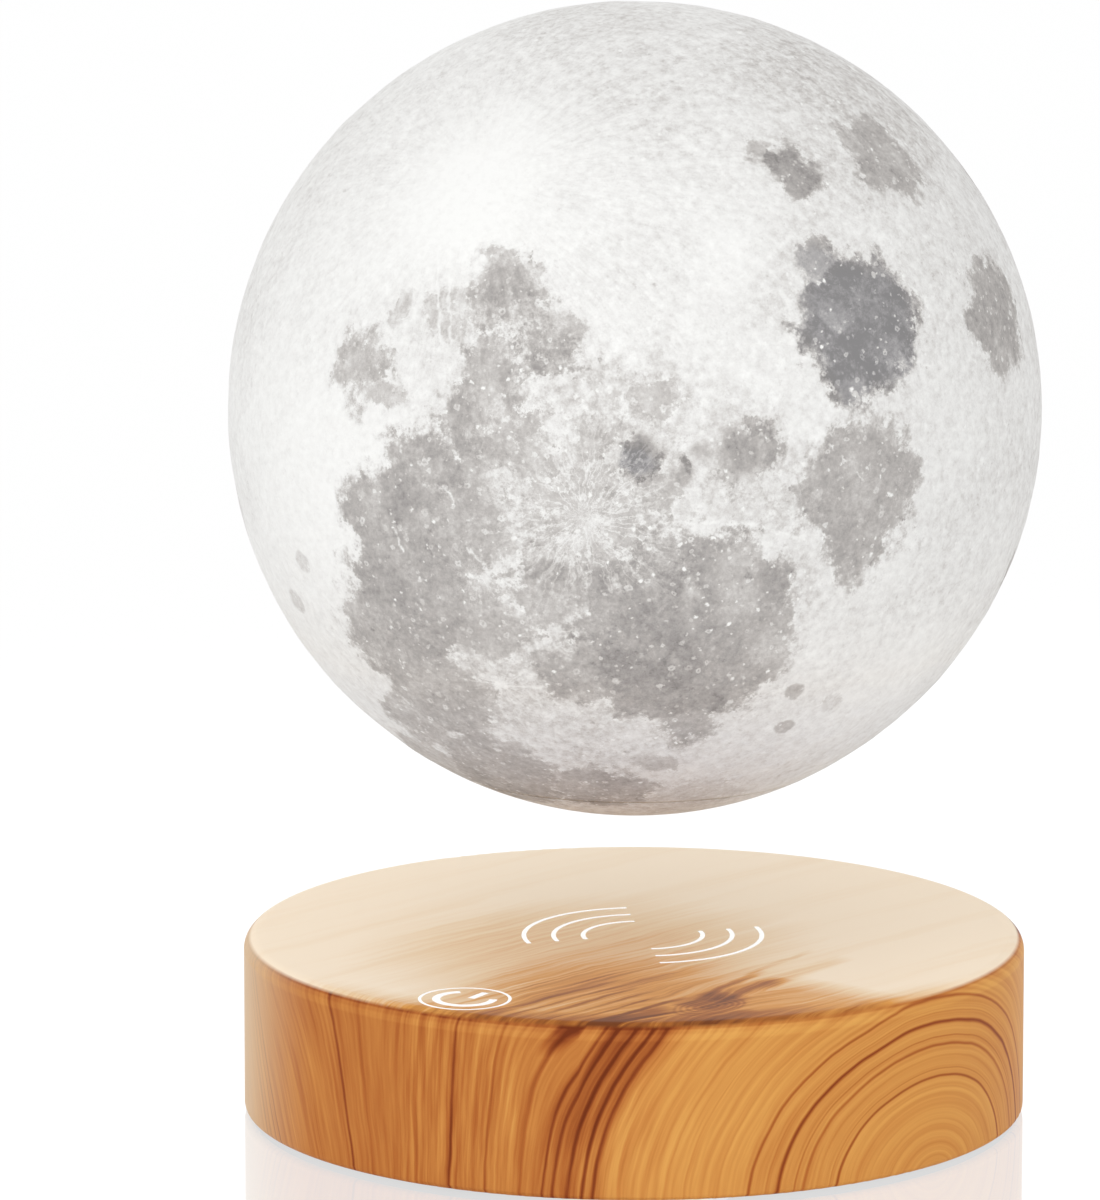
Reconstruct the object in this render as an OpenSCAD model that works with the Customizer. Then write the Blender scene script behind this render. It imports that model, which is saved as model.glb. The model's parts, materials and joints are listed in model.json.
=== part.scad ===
// Levitating moon lamp: a hollow printed moon that floats over a round base.
// The origin is on the table, on the vertical axis that the base and moon share.
// +Z is up, the touch key is towards -Y and the power inlet towards +Y.

/* [Base casing] */
// Outside diameter of the round base
base_d = 145; // [138:1:160]
// Height of the base, from the table to its top
base_h = 33.5; // [31:0.5:40]
// Thickness of the casing's side wall
casing_wall = 3; // [2.6:0.1:3.6]
// Thickness of the casing's top
casing_top = 2.2; // [1.6:0.1:2.8]
// Radius of the casing's upper edge
edge_r = 2.8; // [1:0.1:4]
// Radius of the casing's lower edge
foot_edge_r = 1; // [0.4:0.1:1.2]
// Thickness of the skirt that closes round the bottom cover
skirt_wall = 1.4; // [1.2:0.1:1.8]
// Outside diameter of the four screw bosses
boss_d = 7; // [6:0.5:8]

/* [Bottom cover] */
// Thickness of the bottom cover
cover_t = 2.4; // [2:0.1:3]
// Height that the cover lies above the casing's lower edge
cover_recess = 0.2; // [0:0.1:0.6]
// Height of the rim that locates the cover inside the casing
rim_h = 3; // [2:0.5:4]
// Thickness of that rim
rim_t = 1.4; // [1:0.1:2]
// Width of each cooling slot
vent_w = 2; // [1.5:0.1:3]
// Distance from one cooling slot to the next
vent_pitch = 6; // [5:0.5:8]
// Diameter of the round field that the cooling slots fill
vent_field_d = 60; // [40:2:64]
// Diameter of each rubber foot
foot_d = 12; // [9:0.5:13]
// Thickness of each rubber foot
foot_t = 1.8; // [1.4:0.1:2.2]
// Height that the feet stand out below the casing
foot_proud = 0.8; // [0.5:0.1:1]

/* [Screws] */
// Thread diameter of the cover screws
screw_d = 3; // [2.5:0.1:3.5]
// Length of the cover screws, head included
screw_l = 14; // [10:1:18]
// Head diameter of the cover screws
screw_head_d = 5.6; // [5:0.1:6.2]
// Thread diameter of the small screws on the boards
small_screw_d = 2; // [1.6:0.1:2.2]
// Length of a small screw below its head
small_screw_l = 4.5; // [3.5:0.5:5]
// Head diameter of a small screw
small_head_d = 3.8; // [3.2:0.1:4.2]
// Head height of a small screw
small_head_h = 1.4; // [1:0.1:1.8]

/* [Control board] */
// Thickness of the control board
board_t = 1.6; // [1:0.1:2]
// Height of the pillars that carry the control board
pillar_h = 4; // [3.5:0.5:5]
// Diameter of those pillars
pillar_d = 5.5; // [5:0.5:6.5]
// Diameter of each power capacitor
can_d = 8; // [6.3:0.1:8]
// Height of each power capacitor
can_h = 11; // [8:0.5:13]
// Side of each square power inductor
choke_w = 7; // [5:0.5:8]
// Height of each power inductor
choke_h = 4.5; // [3:0.5:4.5]
// Height of the plug sockets on the board
socket_h = 5; // [4:0.5:5.5]
// Depth of the plug sockets on the board
socket_depth = 4; // [3.5:0.5:5]

/* [Levitation coils] */
// Distance from the axis to the middle of each coil
coil_ring_r = 17; // [16.5:0.5:18]
// Flange diameter of each coil bobbin
bobbin_d = 20; // [17:0.5:21]
// Height of each coil bobbin
bobbin_h = 13; // [11:0.5:14]
// Thickness of the bobbin's flanges and barrel
bobbin_wall = 1; // [0.8:0.1:1.2]
// Diameter of the iron core
core_d = 8; // [6:0.5:9]
// Depth that the winding stays inside the flange's edge
winding_inset = 0.8; // [0.4:0.1:1.2]
// Height of the sensor board above the control board
hall_h = 6; // [4:0.5:8]
// Diameter of the sensor board
hall_d = 12; // [10:0.5:12.5]

/* [Ring magnets] */
// How many disc magnets stand in the ring
magnet_count = 12; // [8:1:12]
// Diameter of each disc magnet
magnet_d = 14; // [10:0.5:15]
// Thickness of each disc magnet
magnet_t = 5; // [3:0.5:5.5]
// Wall of the tray round the magnets
tray_wall = 1.2; // [1:0.1:1.6]
// Height of the tray's legs above the board
tray_leg_h = 6; // [5:0.5:6.5]

/* [Transmit coil] */
// Outside diameter of the flat transmit coil
transmit_d = 82; // [70:1:84]
// Inside diameter of the flat transmit coil
transmit_bore = 36; // [30:1:44]
// Thickness of the flat transmit coil
transmit_t = 1.6; // [1.2:0.1:2]
// Thickness of the plate that carries the coil
carrier_t = 1.2; // [1:0.1:1.6]
// Diameter of the posts that the plate is riveted to
stake_d = 4.4; // [4:0.1:5]

/* [Touch key] */
// Distance from the casing's wall to the middle of the touch key
key_inset = 11.5; // [11:0.5:13]
// Diameter of the round touch board
touch_d = 16; // [14:0.5:17]
// Thickness of the touch board
touch_t = 1.2; // [0.8:0.1:1.6]

/* [Power inlet] */
// Diameter of the bore that takes the plug
inlet_bore = 6.3; // [5.7:0.1:6.5]
// Depth of that bore
inlet_depth = 10; // [9:0.5:11]
// Diameter of the contact pin in the bore
inlet_pin_d = 2; // [1.6:0.1:2.5]
// Outside diameter of the round nose in the casing's wall
nose_d = 8.4; // [8:0.1:9]
// Length of the nose
nose_l = 2.8; // [2.4:0.1:3]
// Width of the inlet's housing
jack_w = 9; // [9:0.5:10]
// Length of the inlet's housing, without the nose
jack_l = 12; // [11:0.5:13]
// Height of the inlet's housing
jack_h = 11; // [10:0.5:12]

/* [Moon] */
// Diameter of the moon
moon_d = 150; // [140:2:180]
// Height of the air gap under the moon
float_gap = 24; // [12:0.5:30]
// Wall of the printed moon
moon_wall = 2; // [1.8:0.1:2.6]
// Diameter of the mouth under the moon
mouth_d = 68; // [66:1:72]
// How deep a crater is, for each millimetre of its width
crater_slope = 0.07; // [0.04:0.01:0.08]
// Greatest depth of a crater
crater_deepest = 0.9; // [0.8:0.1:1]
// Turn of the printed map about the vertical axis
map_heading = 15; // [5:1:25]
// Angle between the map's north pole and straight up
map_tilt = 145; // [143:1:148]
// Turn of the printed map about its own poles
map_spin = 245; // [242:1:248]
// Width of the ledge that the cap's lugs hook over
ledge_w = 3; // [2.6:0.1:3.4]
// Thickness of that ledge
ledge_t = 2.5; // [2:0.1:3]
// How many lugs lock the cap
lug_count = 3; // [3:1:4]
// Angle that each lug covers
lug_angle = 22; // [16:1:26]
// Height of each lug
lug_h = 1.8; // [1.4:0.1:2.2]

/* [Cap and floating magnet] */
// Least thickness of the cap's skin
cap_skin = 1.6; // [1.4:0.1:2]
// Wall of the cap's collar
collar_t = 1.5; // [1.2:0.1:1.8]
// Diameter of the floating magnet
float_magnet_d = 30; // [26:0.5:31]
// Thickness of the floating magnet
float_magnet_t = 8; // [6:0.5:8.5]
// Thickness of the steel plate on the floating magnet
backing_t = 1.5; // [1:0.1:2]
// Wall of the pocket round the floating magnet
pocket_wall = 1.8; // [1.4:0.1:2]
// Width of the receiving coil's winding
receive_w = 7; // [5:0.5:8]
// Thickness of the receiving coil
receive_t = 1.6; // [1:0.1:2]
// Thickness of the ferrite ring on the receiving coil
ferrite_t = 0.6; // [0.4:0.1:0.8]
// Thickness of the two boards in the moon
moon_board_t = 1.6; // [1:0.1:2]
// Height of the spacers under the lamp board
spacer_h = 14; // [12:1:20]
// Diameter of the lamp board
led_board_d = 40; // [34:1:50]
// How many lamps stand on the lamp board
led_count = 8; // [4:1:10]

/* [Clearances] */
// Gap round a piece that slips into another
slip_gap = 0.2; // [0.1:0.05:0.3]
// Gap round a screw or pin in its hole
hole_gap = 0.1; // [0.05:0.05:0.15]
// Gap between pieces that turn or pass each other
run_gap = 0.3; // [0.2:0.05:0.4]
// Gap between pieces that only lie side by side
side_gap = 2; // [1.5:0.1:2.5]

/* [Hidden] */
$fn = 96;

// A cut runs this far past the faces that it opens
over = 1;
// A boss, post or rib grows this deep out of the wall that carries it
root = 0.5;
// Quarter turns carry what stands four times in the base
quarter = 4;
// The screws and bosses stand between the feet and the inlet
corner_angle = 45;
// Three capacitors and three inductors share four corners with the leads
can_count = 3;
choke_count = 3;
choke_angle = 75;

// Heights in the base, from the table up
cover_z = foot_proud + cover_recess;
cover_top_z = cover_z + cover_t;
board_z = cover_top_z + pillar_h;
board_top_z = board_z + board_t;
ceiling_z = base_h - casing_top;
carrier_z = ceiling_z - slip_gap - transmit_t - carrier_t;
tray_z = board_top_z + tray_leg_h;
tray_floor_t = 1;
hall_z = board_top_z + hall_h;
inlet_z = board_top_z + jack_h / 2;

// Radii in the base, from the casing's wall inwards
base_r = base_d / 2;
inner_r = base_r - casing_wall;
skirt_r = base_r - skirt_wall;
cover_r = skirt_r - slip_gap;
rim_r = inner_r - slip_gap;
boss_ring_r = rim_r - rim_t - slip_gap - boss_d / 2;
foot_ring_r = rim_r - rim_t - side_gap - foot_d / 2;
board_r = boss_ring_r - boss_d / 2 - side_gap;
pillar_ring_r = board_r - pillar_d / 2 - side_gap;
socket_ring_r = board_r - socket_depth / 2 - 1;
key_ring_r = inner_r - key_inset;

// Radii round the coils, from the coils outwards
tray_bore_r = coil_ring_r + bobbin_d / 2 + side_gap;
magnet_ring_r = tray_bore_r + tray_wall + slip_gap + magnet_d / 2;
tray_r = magnet_ring_r + magnet_d / 2 + slip_gap + tray_wall;
// The capacitors stand in the corners between the coils
can_ring_r = coil_ring_r * sqrt(2);
leg_d = 5;
leg_angle = 180 / magnet_count;
stake_ring_r = transmit_d / 2 + slip_gap + stake_d / 2;
stake_neck_d = 2.4;
stake_count = 3;
// The carrier's tail holds the joints of the transmit leads
tail_angle = 195;
tail_w = 8;
lead_d = 1.2;
lead_pitch = 2.5;
touch_lead_pitch = 2;
socket_w = 8;
socket_wall = 0.8;
chip_h = 1.6;

// The power inlet, from its mouth inwards
jack_face_y = sqrt(pow(inner_r, 2) - pow(jack_w / 2, 2)) - slip_gap;
tab_w = jack_w + 5;
tab_end_y = jack_face_y - 1.5;

// The touch board and its seat
touch_z = ceiling_z - touch_t;
touch_rib_t = 1;
touch_lead_r = socket_ring_r;

// Heights in the moon, from its middle
moon_r = moon_d / 2;
moon_z = base_h + float_gap + moon_r;
mouth_r = mouth_d / 2;
collar_r = mouth_r - ledge_w - slip_gap;
flange_r = mouth_r - slip_gap;
flange_top = -sqrt(pow(moon_r, 2) - pow(flange_r, 2)) + cap_skin;
ledge_z = flange_top + slip_gap;
ledge_top = ledge_z + ledge_t;
ledge_out_r = mouth_r + 4;
lug_z = ledge_top + slip_gap;
collar_top = lug_z + lug_h;
lug_r = mouth_r - 0.5;
collar_bore_r = collar_r - collar_t;
cap_floor = -sqrt(pow(moon_r, 2) - pow(collar_bore_r, 2)) + cap_skin;
pocket_r = float_magnet_d / 2 + run_gap;
pocket_floor = -sqrt(pow(moon_r, 2) - pow(pocket_r, 2)) + cap_skin;
magnet_top = pocket_floor + float_magnet_t;
backing_top = magnet_top + backing_t;
pocket_top = backing_top + run_gap;
coil_in_r = pocket_r + pocket_wall + slip_gap;
coil_out_r = coil_in_r + receive_w;
coil_top = cap_floor + receive_t;
ferrite_top = coil_top + ferrite_t;
post_d = 5;
post_r = collar_bore_r - post_d / 2 + 0.6;
post_angle = 30;
receiver_r = collar_bore_r - run_gap;
receiver_top = pocket_top + moon_board_t;
moon_lead_d = 0.6;
spacer_d = 5;
spacer_ring_r = led_board_d / 2 - spacer_d / 2 - 1.5;
led_board_z = receiver_top + spacer_h;
led_board_top = led_board_z + moon_board_t;

// Wide craters of the moon: latitude, longitude and width in kilometres
CRATERS = [
    // Ray craters and walled plains of the near side
    [-43, -11, 102], [10, -20, 107], [24, -47, 90], [8, -38, 80], [-58, -14, 225],
    [-44, -55, 227], [-32, -5, 220], [-9, -2, 153], [-11, 4, 129], [-5, -68, 222],
    [-18, -39, 110], [-11, 26, 110], [-50, -6, 163], [-50, -22, 157], [52, -9, 101],
    [50, 17, 90], [32, 30, 95], [28, 56, 126], [-9, 61, 127], [-25, 60, 177],
    [-45, 42, 200], [-34, 60, 135], [62, -41, 165], [-67, -69, 303], [54, 57, 125],
    [-42, 14, 114], [65, 4, 158], [-16, 61, 131], [-30, 32, 88], [44, -31, 230],
    // Basins of the far side
    [-4, -157, 437], [2, -128, 500], [-36, -152, 500], [-57, 135, 319], [-75, 132, 312],
    [-20, 149, 265], [-21, 129, 185], [51, 164, 230], [-35, 147, 143], [-38, 178, 245],
    [-35, -166, 160], [-31, 113, 272], [-14, -152, 190], [45, 152, 219], [22, -175, 180],
    [-57, 163, 325]
];
moon_km_r = 1737.4;

// ---- Helpers -------------------------------------------------------------

// Copies of a piece on a circle round the axis, evenly spread unless a step is given
module around(count, radius, first = 0, step = 0) {
    for (i = [0 : count - 1])
        rotate(first + i * (step == 0 ? 360 / count : step))
            translate([radius, 0, 0])
                children();
}

// A flat ring, standing on z = 0
module ring(outer_r, inner_r, height) {
    difference() {
        cylinder(r = outer_r, h = height);
        translate([0, 0, -over])
            cylinder(r = inner_r, h = height + 2 * over);
    }
}

// What a round edge of a profile leaves outside, for a corner at the origin
module corner_waste(radius) {
    difference() {
        translate([-radius, -radius])
            square(2 * radius);
        translate([-radius, -radius])
            circle(r = radius);
    }
}

// A ring round the moon's middle, seen in half section: radii and heights
module section(r_from, r_to, z_from, z_to) {
    translate([r_from, z_from])
        square([r_to - r_from, z_to - z_from]);
}

// A small pan-head screw that points down, with the underside of its head at z = 0
module small_screw(length = small_screw_l) {
    difference() {
        cylinder(d = small_head_d, h = small_head_h);
        translate([0, 0, small_head_h - 0.7])
            cross_recess(small_head_d * 0.6, 0.7 + over);
    }
    translate([0, 0, -length])
        cylinder(d = small_screw_d, h = length);
}

// The cross in a screw's head, standing on z = 0
module cross_recess(width, depth) {
    slot = width / 4;
    translate([-width / 2, -slot / 2, 0])
        cube([width, slot, depth]);
    translate([-slot / 2, -width / 2, 0])
        cube([slot, width, depth]);
}

// ---- Base: casing and cover ----------------------------------------------

module casing_outline() {
    difference() {
        translate([0, foot_proud])
            square([base_r, base_h - foot_proud]);
        translate([base_r, base_h])
            corner_waste(edge_r);
        translate([base_r, foot_proud])
            mirror([0, 1])
                corner_waste(foot_edge_r);
        translate([-over, foot_proud - over])
            square([inner_r + over, ceiling_z - foot_proud + over]);
        translate([-over, foot_proud - over])
            square([skirt_r + over, cover_top_z - foot_proud + over]);
    }
}

module screw_boss() {
    translate([0, 0, cover_top_z])
        cylinder(d = boss_d, h = ceiling_z - cover_top_z + root);
    // The web that ties the boss to the wall, above the cover's rim
    translate([0, -1, cover_top_z + rim_h + slip_gap])
        cube([inner_r - boss_ring_r + root, 2,
              ceiling_z - cover_top_z - rim_h - slip_gap + root]);
}

// A post with a shoulder above the carrier and a riveted head under it
module stake() {
    translate([0, 0, carrier_z + carrier_t])
        cylinder(d = stake_d, h = ceiling_z - carrier_z - carrier_t + root);
    translate([0, 0, carrier_z - 1])
        cylinder(d = stake_neck_d, h = carrier_t + 1 + over);
    translate([0, 0, carrier_z - 1])
        cylinder(d1 = stake_neck_d, d2 = stake_d, h = 1);
}

module wood_casing() {
    color("peru")
        difference() {
            union() {
                rotate_extrude()
                    casing_outline();
                around(quarter, boss_ring_r, corner_angle)
                    screw_boss();
                around(stake_count, stake_ring_r, 90)
                    stake();
                // The rib that locates the touch board
                translate([0, -key_ring_r, touch_z])
                    ring(touch_d / 2 + slip_gap + touch_rib_t, touch_d / 2 + slip_gap,
                         touch_t + root);
            }
            around(quarter, boss_ring_r, corner_angle)
                translate([0, 0, cover_top_z - over])
                    cylinder(d = screw_d + 2 * hole_gap, h = screw_l + over);
            translate([0, inner_r - over, inlet_z])
                rotate([-90, 0, 0])
                    cylinder(d = nose_d + 2 * slip_gap, h = casing_wall + 2 * over);
        }
}

// The hole and countersink that a cover screw sits in
module screw_seat() {
    translate([0, 0, cover_z - over])
        cylinder(d = screw_d + 2 * hole_gap, h = cover_t + 2 * over);
    translate([0, 0, cover_z])
        cylinder(d1 = screw_head_d + 2 * hole_gap, d2 = screw_d + 2 * hole_gap,
                 h = (screw_head_d - screw_d) / 2);
}

module cooling_slots() {
    field_r = vent_field_d / 2;
    rows = floor((field_r - vent_w) / vent_pitch);
    for (i = [-rows : rows]) {
        half = sqrt(pow(field_r, 2) - pow(i * vent_pitch, 2));
        translate([i * vent_pitch - vent_w / 2, -half, cover_z - over])
            cube([vent_w, 2 * half, cover_t + 2 * over]);
    }
}

module bottom_cover() {
    color("dimgray")
        difference() {
            union() {
                translate([0, 0, cover_z])
                    cylinder(r = cover_r, h = cover_t);
                translate([0, 0, cover_top_z])
                    ring(rim_r, rim_r - rim_t, rim_h);
                around(quarter, pillar_ring_r, corner_angle)
                    translate([0, 0, cover_z + cover_t / 2])
                        cylinder(d = pillar_d, h = board_z - cover_z - cover_t / 2);
            }
            around(quarter, boss_ring_r, corner_angle)
                screw_seat();
            around(quarter, foot_ring_r)
                translate([0, 0, foot_t - over - foot_proud])
                    cylinder(d = foot_d + 2 * slip_gap, h = over + foot_proud);
            around(quarter, pillar_ring_r, corner_angle)
                translate([0, 0, cover_z + 1])
                    cylinder(d = small_screw_d + 2 * hole_gap, h = board_z - cover_z);
            cooling_slots();
        }
}

module cover_screws() {
    cone_h = (screw_head_d - screw_d) / 2;
    color("silver")
        around(quarter, boss_ring_r, corner_angle)
            translate([0, 0, cover_z])
                difference() {
                    union() {
                        cylinder(d1 = screw_head_d, d2 = screw_d, h = cone_h);
                        cylinder(d = screw_d, h = screw_l);
                    }
                    translate([0, 0, -over])
                        cross_recess(screw_head_d * 0.55, over + 1);
                }
}

module rubber_feet() {
    color("#303030")
        around(quarter, foot_ring_r)
            cylinder(d = foot_d, h = foot_t);
}

// ---- Base: control board and what stands on it -----------------------------

module control_board() {
    color("darkgreen")
        difference() {
            union() {
                translate([0, 0, board_z])
                    cylinder(r = board_r, h = board_t);
                translate([-tab_w / 2, 0, board_z])
                    cube([tab_w, tab_end_y, board_t]);
            }
            around(quarter, pillar_ring_r, corner_angle)
                translate([0, 0, board_z - over])
                    cylinder(d = small_screw_d + 2 * hole_gap, h = board_t + 2 * over);
            around(quarter, magnet_ring_r, leg_angle)
                translate([0, 0, board_z - over])
                    cylinder(d = small_screw_d + 2 * hole_gap, h = board_t + 2 * over);
            around(quarter, coil_ring_r)
                translate([0, 0, board_z - over])
                    cylinder(d = small_screw_d + 2 * hole_gap, h = board_t + 2 * over);
        }
}

module board_screws() {
    color("silver")
        around(quarter, pillar_ring_r, corner_angle)
            translate([0, 0, board_top_z])
                small_screw();
}

module board_chips() {
    driver = [5, 4, chip_h];
    brain = [7, 7, chip_h];
    color("#202020") {
        around(quarter, magnet_ring_r, corner_angle)
            translate([-driver.x / 2, -driver.y / 2, board_top_z])
                cube(driver);
        around(1, magnet_ring_r, 180)
            translate([-brain.x / 2, -brain.y / 2, board_top_z])
                cube(brain);
    }
}

// One socket for the leads above it
module socket() {
    difference() {
        translate([-socket_depth / 2, -socket_w / 2, board_top_z])
            cube([socket_depth, socket_w, socket_h]);
        translate([-socket_depth / 2 + socket_wall, -socket_w / 2 + socket_wall,
                   board_top_z + socket_wall])
            cube([socket_depth - 2 * socket_wall, socket_w - 2 * socket_wall, socket_h]);
    }
}

module board_sockets() {
    color("ivory") {
        around(1, socket_ring_r, tail_angle)
            socket();
        around(1, touch_lead_r, 270)
            socket();
    }
}

module power_capacitors() {
    color("#2a3550")
        around(can_count, can_ring_r, corner_angle, 360 / quarter)
            translate([0, 0, board_top_z])
                can(can_d, can_h);
}

// A capacitor's can, with the groove that holds its seal
module can(diameter, height) {
    groove_h = 1.2;
    groove_z = 1.4;
    rotate_extrude()
        difference() {
            square([diameter / 2, height]);
            translate([diameter / 2 + 0.2, groove_z + groove_h / 2])
                circle(d = groove_h);
        }
}

module power_inductors() {
    color("#3c3c3c")
        around(choke_count, magnet_ring_r, choke_angle, 360 / quarter)
            translate([-choke_w / 2, -choke_w / 2, board_top_z])
                cube([choke_w, choke_w, choke_h]);
}

module dc_jack() {
    color("#181818")
        difference() {
            union() {
                translate([-jack_w / 2, jack_face_y - jack_l, board_top_z])
                    cube([jack_w, jack_l, jack_h]);
                translate([0, jack_face_y - over, inlet_z])
                    rotate([-90, 0, 0])
                        cylinder(d = nose_d, h = nose_l + over);
            }
            translate([0, jack_face_y + nose_l - inlet_depth, inlet_z])
                rotate([-90, 0, 0])
                    cylinder(d = inlet_bore, h = inlet_depth + over);
        }
}

module jack_pin() {
    color("gold")
        translate([0, jack_face_y + nose_l - inlet_depth, inlet_z])
            rotate([-90, 0, 0])
                cylinder(d = inlet_pin_d, h = inlet_depth - 1);
}

// ---- Base: coils, magnets and sensors ---------------------------------------

module coil_bobbins() {
    color("white")
        around(quarter, coil_ring_r)
            translate([0, 0, board_top_z]) {
                ring(bobbin_d / 2, core_d / 2 + hole_gap, bobbin_wall);
                translate([0, 0, bobbin_h - bobbin_wall])
                    ring(bobbin_d / 2, core_d / 2 + hole_gap, bobbin_wall);
                ring(core_d / 2 + hole_gap + bobbin_wall, core_d / 2 + hole_gap, bobbin_h);
            }
}

module coil_windings() {
    barrel_r = core_d / 2 + hole_gap + bobbin_wall;
    color("chocolate")
        around(quarter, coil_ring_r)
            translate([0, 0, board_top_z + bobbin_wall])
                ring(bobbin_d / 2 - winding_inset, barrel_r, bobbin_h - 2 * bobbin_wall);
}

module coil_cores() {
    color("gray")
        around(quarter, coil_ring_r)
            difference() {
                translate([0, 0, board_top_z])
                    cylinder(d = core_d, h = bobbin_h);
                translate([0, 0, board_top_z - over])
                    cylinder(d = small_screw_d + 2 * hole_gap, h = small_screw_l + over);
            }
}

module coil_screws() {
    color("silver")
        around(quarter, coil_ring_r)
            translate([0, 0, board_z])
                mirror([0, 0, 1])
                    small_screw();
}

module magnet_tray() {
    pocket_d = magnet_d + 2 * slip_gap;
    color("#44474a")
        difference() {
            union() {
                translate([0, 0, tray_z])
                    ring(tray_r, tray_bore_r, tray_floor_t + magnet_t);
                around(quarter, magnet_ring_r, leg_angle)
                    translate([0, 0, board_top_z])
                        cylinder(d = leg_d, h = tray_leg_h + tray_floor_t);
            }
            around(magnet_count, magnet_ring_r)
                translate([0, 0, tray_z + tray_floor_t])
                    cylinder(d = pocket_d, h = magnet_t + over);
            around(quarter, magnet_ring_r, leg_angle)
                translate([0, 0, board_top_z - over])
                    cylinder(d = small_screw_d + 2 * hole_gap, h = small_screw_l + over);
        }
}

module ring_magnets() {
    color("lightsteelblue")
        around(magnet_count, magnet_ring_r)
            translate([0, 0, tray_z + tray_floor_t])
                cylinder(d = magnet_d, h = magnet_t);
}

module tray_screws() {
    color("silver")
        around(quarter, magnet_ring_r, leg_angle)
            translate([0, 0, board_z])
                mirror([0, 0, 1])
                    small_screw();
}

module hall_board() {
    color("seagreen")
        translate([0, 0, hall_z])
            cylinder(d = hall_d, h = 1);
}

module hall_pins() {
    pitch = 2.54;
    color("gold")
        for (i = [-1.5 : 1.5])
            translate([i * pitch, 0, board_top_z])
                cylinder(d = 0.8, h = hall_h);
}

module hall_sensors() {
    sensor = [4, 1.6, 3];
    middle = hall_d / 4;
    color("#202020")
        for (angle = [0, 90])
            rotate(angle)
                translate([middle - sensor.y / 2, -sensor.x / 2, hall_z + 1])
                    cube([sensor.y, sensor.x, sensor.z]);
}

// ---- Base: transmit coil and touch key ----------------------------------------

module transmit_coil() {
    color("chocolate")
        translate([0, 0, carrier_z + carrier_t])
            ring(transmit_d / 2, transmit_bore / 2, transmit_t);
}

module coil_carrier() {
    plate_r = transmit_d / 2;
    color("gainsboro")
        difference() {
            union() {
                translate([0, 0, carrier_z])
                    cylinder(r = plate_r, h = carrier_t);
                around(stake_count, stake_ring_r, 90)
                    translate([0, 0, carrier_z])
                        cylinder(d = stake_d + 3, h = carrier_t);
                rotate(tail_angle)
                    translate([0, -tail_w / 2, carrier_z])
                        cube([socket_ring_r + 3, tail_w, carrier_t]);
            }
            translate([0, 0, carrier_z - over])
                cylinder(d = transmit_bore - 4, h = carrier_t + 2 * over);
            around(stake_count, stake_ring_r, 90)
                translate([0, 0, carrier_z - over])
                    cylinder(d = stake_neck_d + 2 * hole_gap, h = carrier_t + 2 * over);
        }
}

module transmit_leads() {
    color("red")
        around(1, socket_ring_r, tail_angle)
            for (side = [-1, 1])
                translate([0, side * lead_pitch / 2, board_top_z + socket_wall])
                    cylinder(d = lead_d, h = carrier_z - board_top_z - socket_wall);
}

module touch_board() {
    color("seagreen")
        translate([0, -key_ring_r, touch_z])
            cylinder(d = touch_d, h = touch_t);
}

module touch_chip() {
    chip = [4, 3, 1.2];
    color("#202020")
        translate([-chip.x / 2, -key_ring_r - 1, touch_z - chip.z])
            mirror([0, 1, 0])
                cube(chip);
}

module touch_leads() {
    color("gold")
        around(1, touch_lead_r, 270)
            for (side = [-1, 0, 1])
                translate([0, side * touch_lead_pitch, board_top_z + socket_wall])
                    cylinder(d = lead_d, h = touch_z - board_top_z - socket_wall);
}

// ---- Floating magnet ------------------------------------------------------------

module levitation_magnet() {
    color("lightsteelblue")
        translate([0, 0, moon_z + pocket_floor])
            cylinder(d = float_magnet_d, h = float_magnet_t);
}

module magnet_backing() {
    color("gray")
        translate([0, 0, moon_z + magnet_top])
            cylinder(d = float_magnet_d, h = backing_t);
}

// ---- Moon: printed shell and cap --------------------------------------------------

// The shell in half section, with the ledge round its mouth
module shell_outline() {
    difference() {
        intersection() {
            union() {
                difference() {
                    circle(r = moon_r);
                    circle(r = moon_r - moon_wall);
                }
                section(mouth_r - ledge_w, ledge_out_r, ledge_z, ledge_top);
            }
            circle(r = moon_r);
            section(0, moon_r + over, -moon_r - over, moon_r + over);
        }
        section(-over, mouth_r, -moon_r - over, ledge_z);
        section(-over, mouth_r - ledge_w, -moon_r - over, 0);
    }
}

// Where a place on the map lies, as a direction from the moon's middle. The print is a
// mirror image: its longitudes run the other way round than on the real moon.
function map_direction(lat, lon) =
    let (
        turn = map_spin - lon,
        level = cos(lat) * cos(turn),
        x = level * cos(map_tilt) + sin(lat) * sin(map_tilt),
        y = cos(lat) * sin(turn),
        z = sin(lat) * cos(map_tilt) - level * sin(map_tilt)
    )
    [x * cos(map_heading) - y * sin(map_heading), x * sin(map_heading) + y * cos(map_heading), z];

// The ball that cuts one dish-shaped crater: it passes through the rim and the floor
module crater_ball(direction, width) {
    rim_height = sqrt(pow(moon_r, 2) - pow(width / 2, 2));
    floor_height = moon_r - min(crater_deepest, width * crater_slope);
    middle = (pow(moon_r, 2) - pow(floor_height, 2)) / (2 * (rim_height - floor_height));
    translate(direction * middle)
        sphere(r = middle - floor_height);
}

module globe_shell() {
    color("gainsboro")
        translate([0, 0, moon_z])
            difference() {
                // The revolved shell starts on a meridian that no crater crosses
                rotate(map_heading + 25)
                    rotate_extrude()
                        shell_outline();
                for (i = [0 : lug_count - 1])
                    rotate(60 + i * 360 / lug_count - lug_angle / 2 - 3)
                        rotate_extrude(angle = lug_angle + 6)
                            section(mouth_r - ledge_w - over, lug_r + slip_gap,
                                    ledge_z - over, ledge_top + over);
                for (crater = CRATERS)
                    crater_ball(map_direction(crater[0], crater[1]),
                                crater[2] / moon_km_r * moon_r);
            }
}

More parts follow.
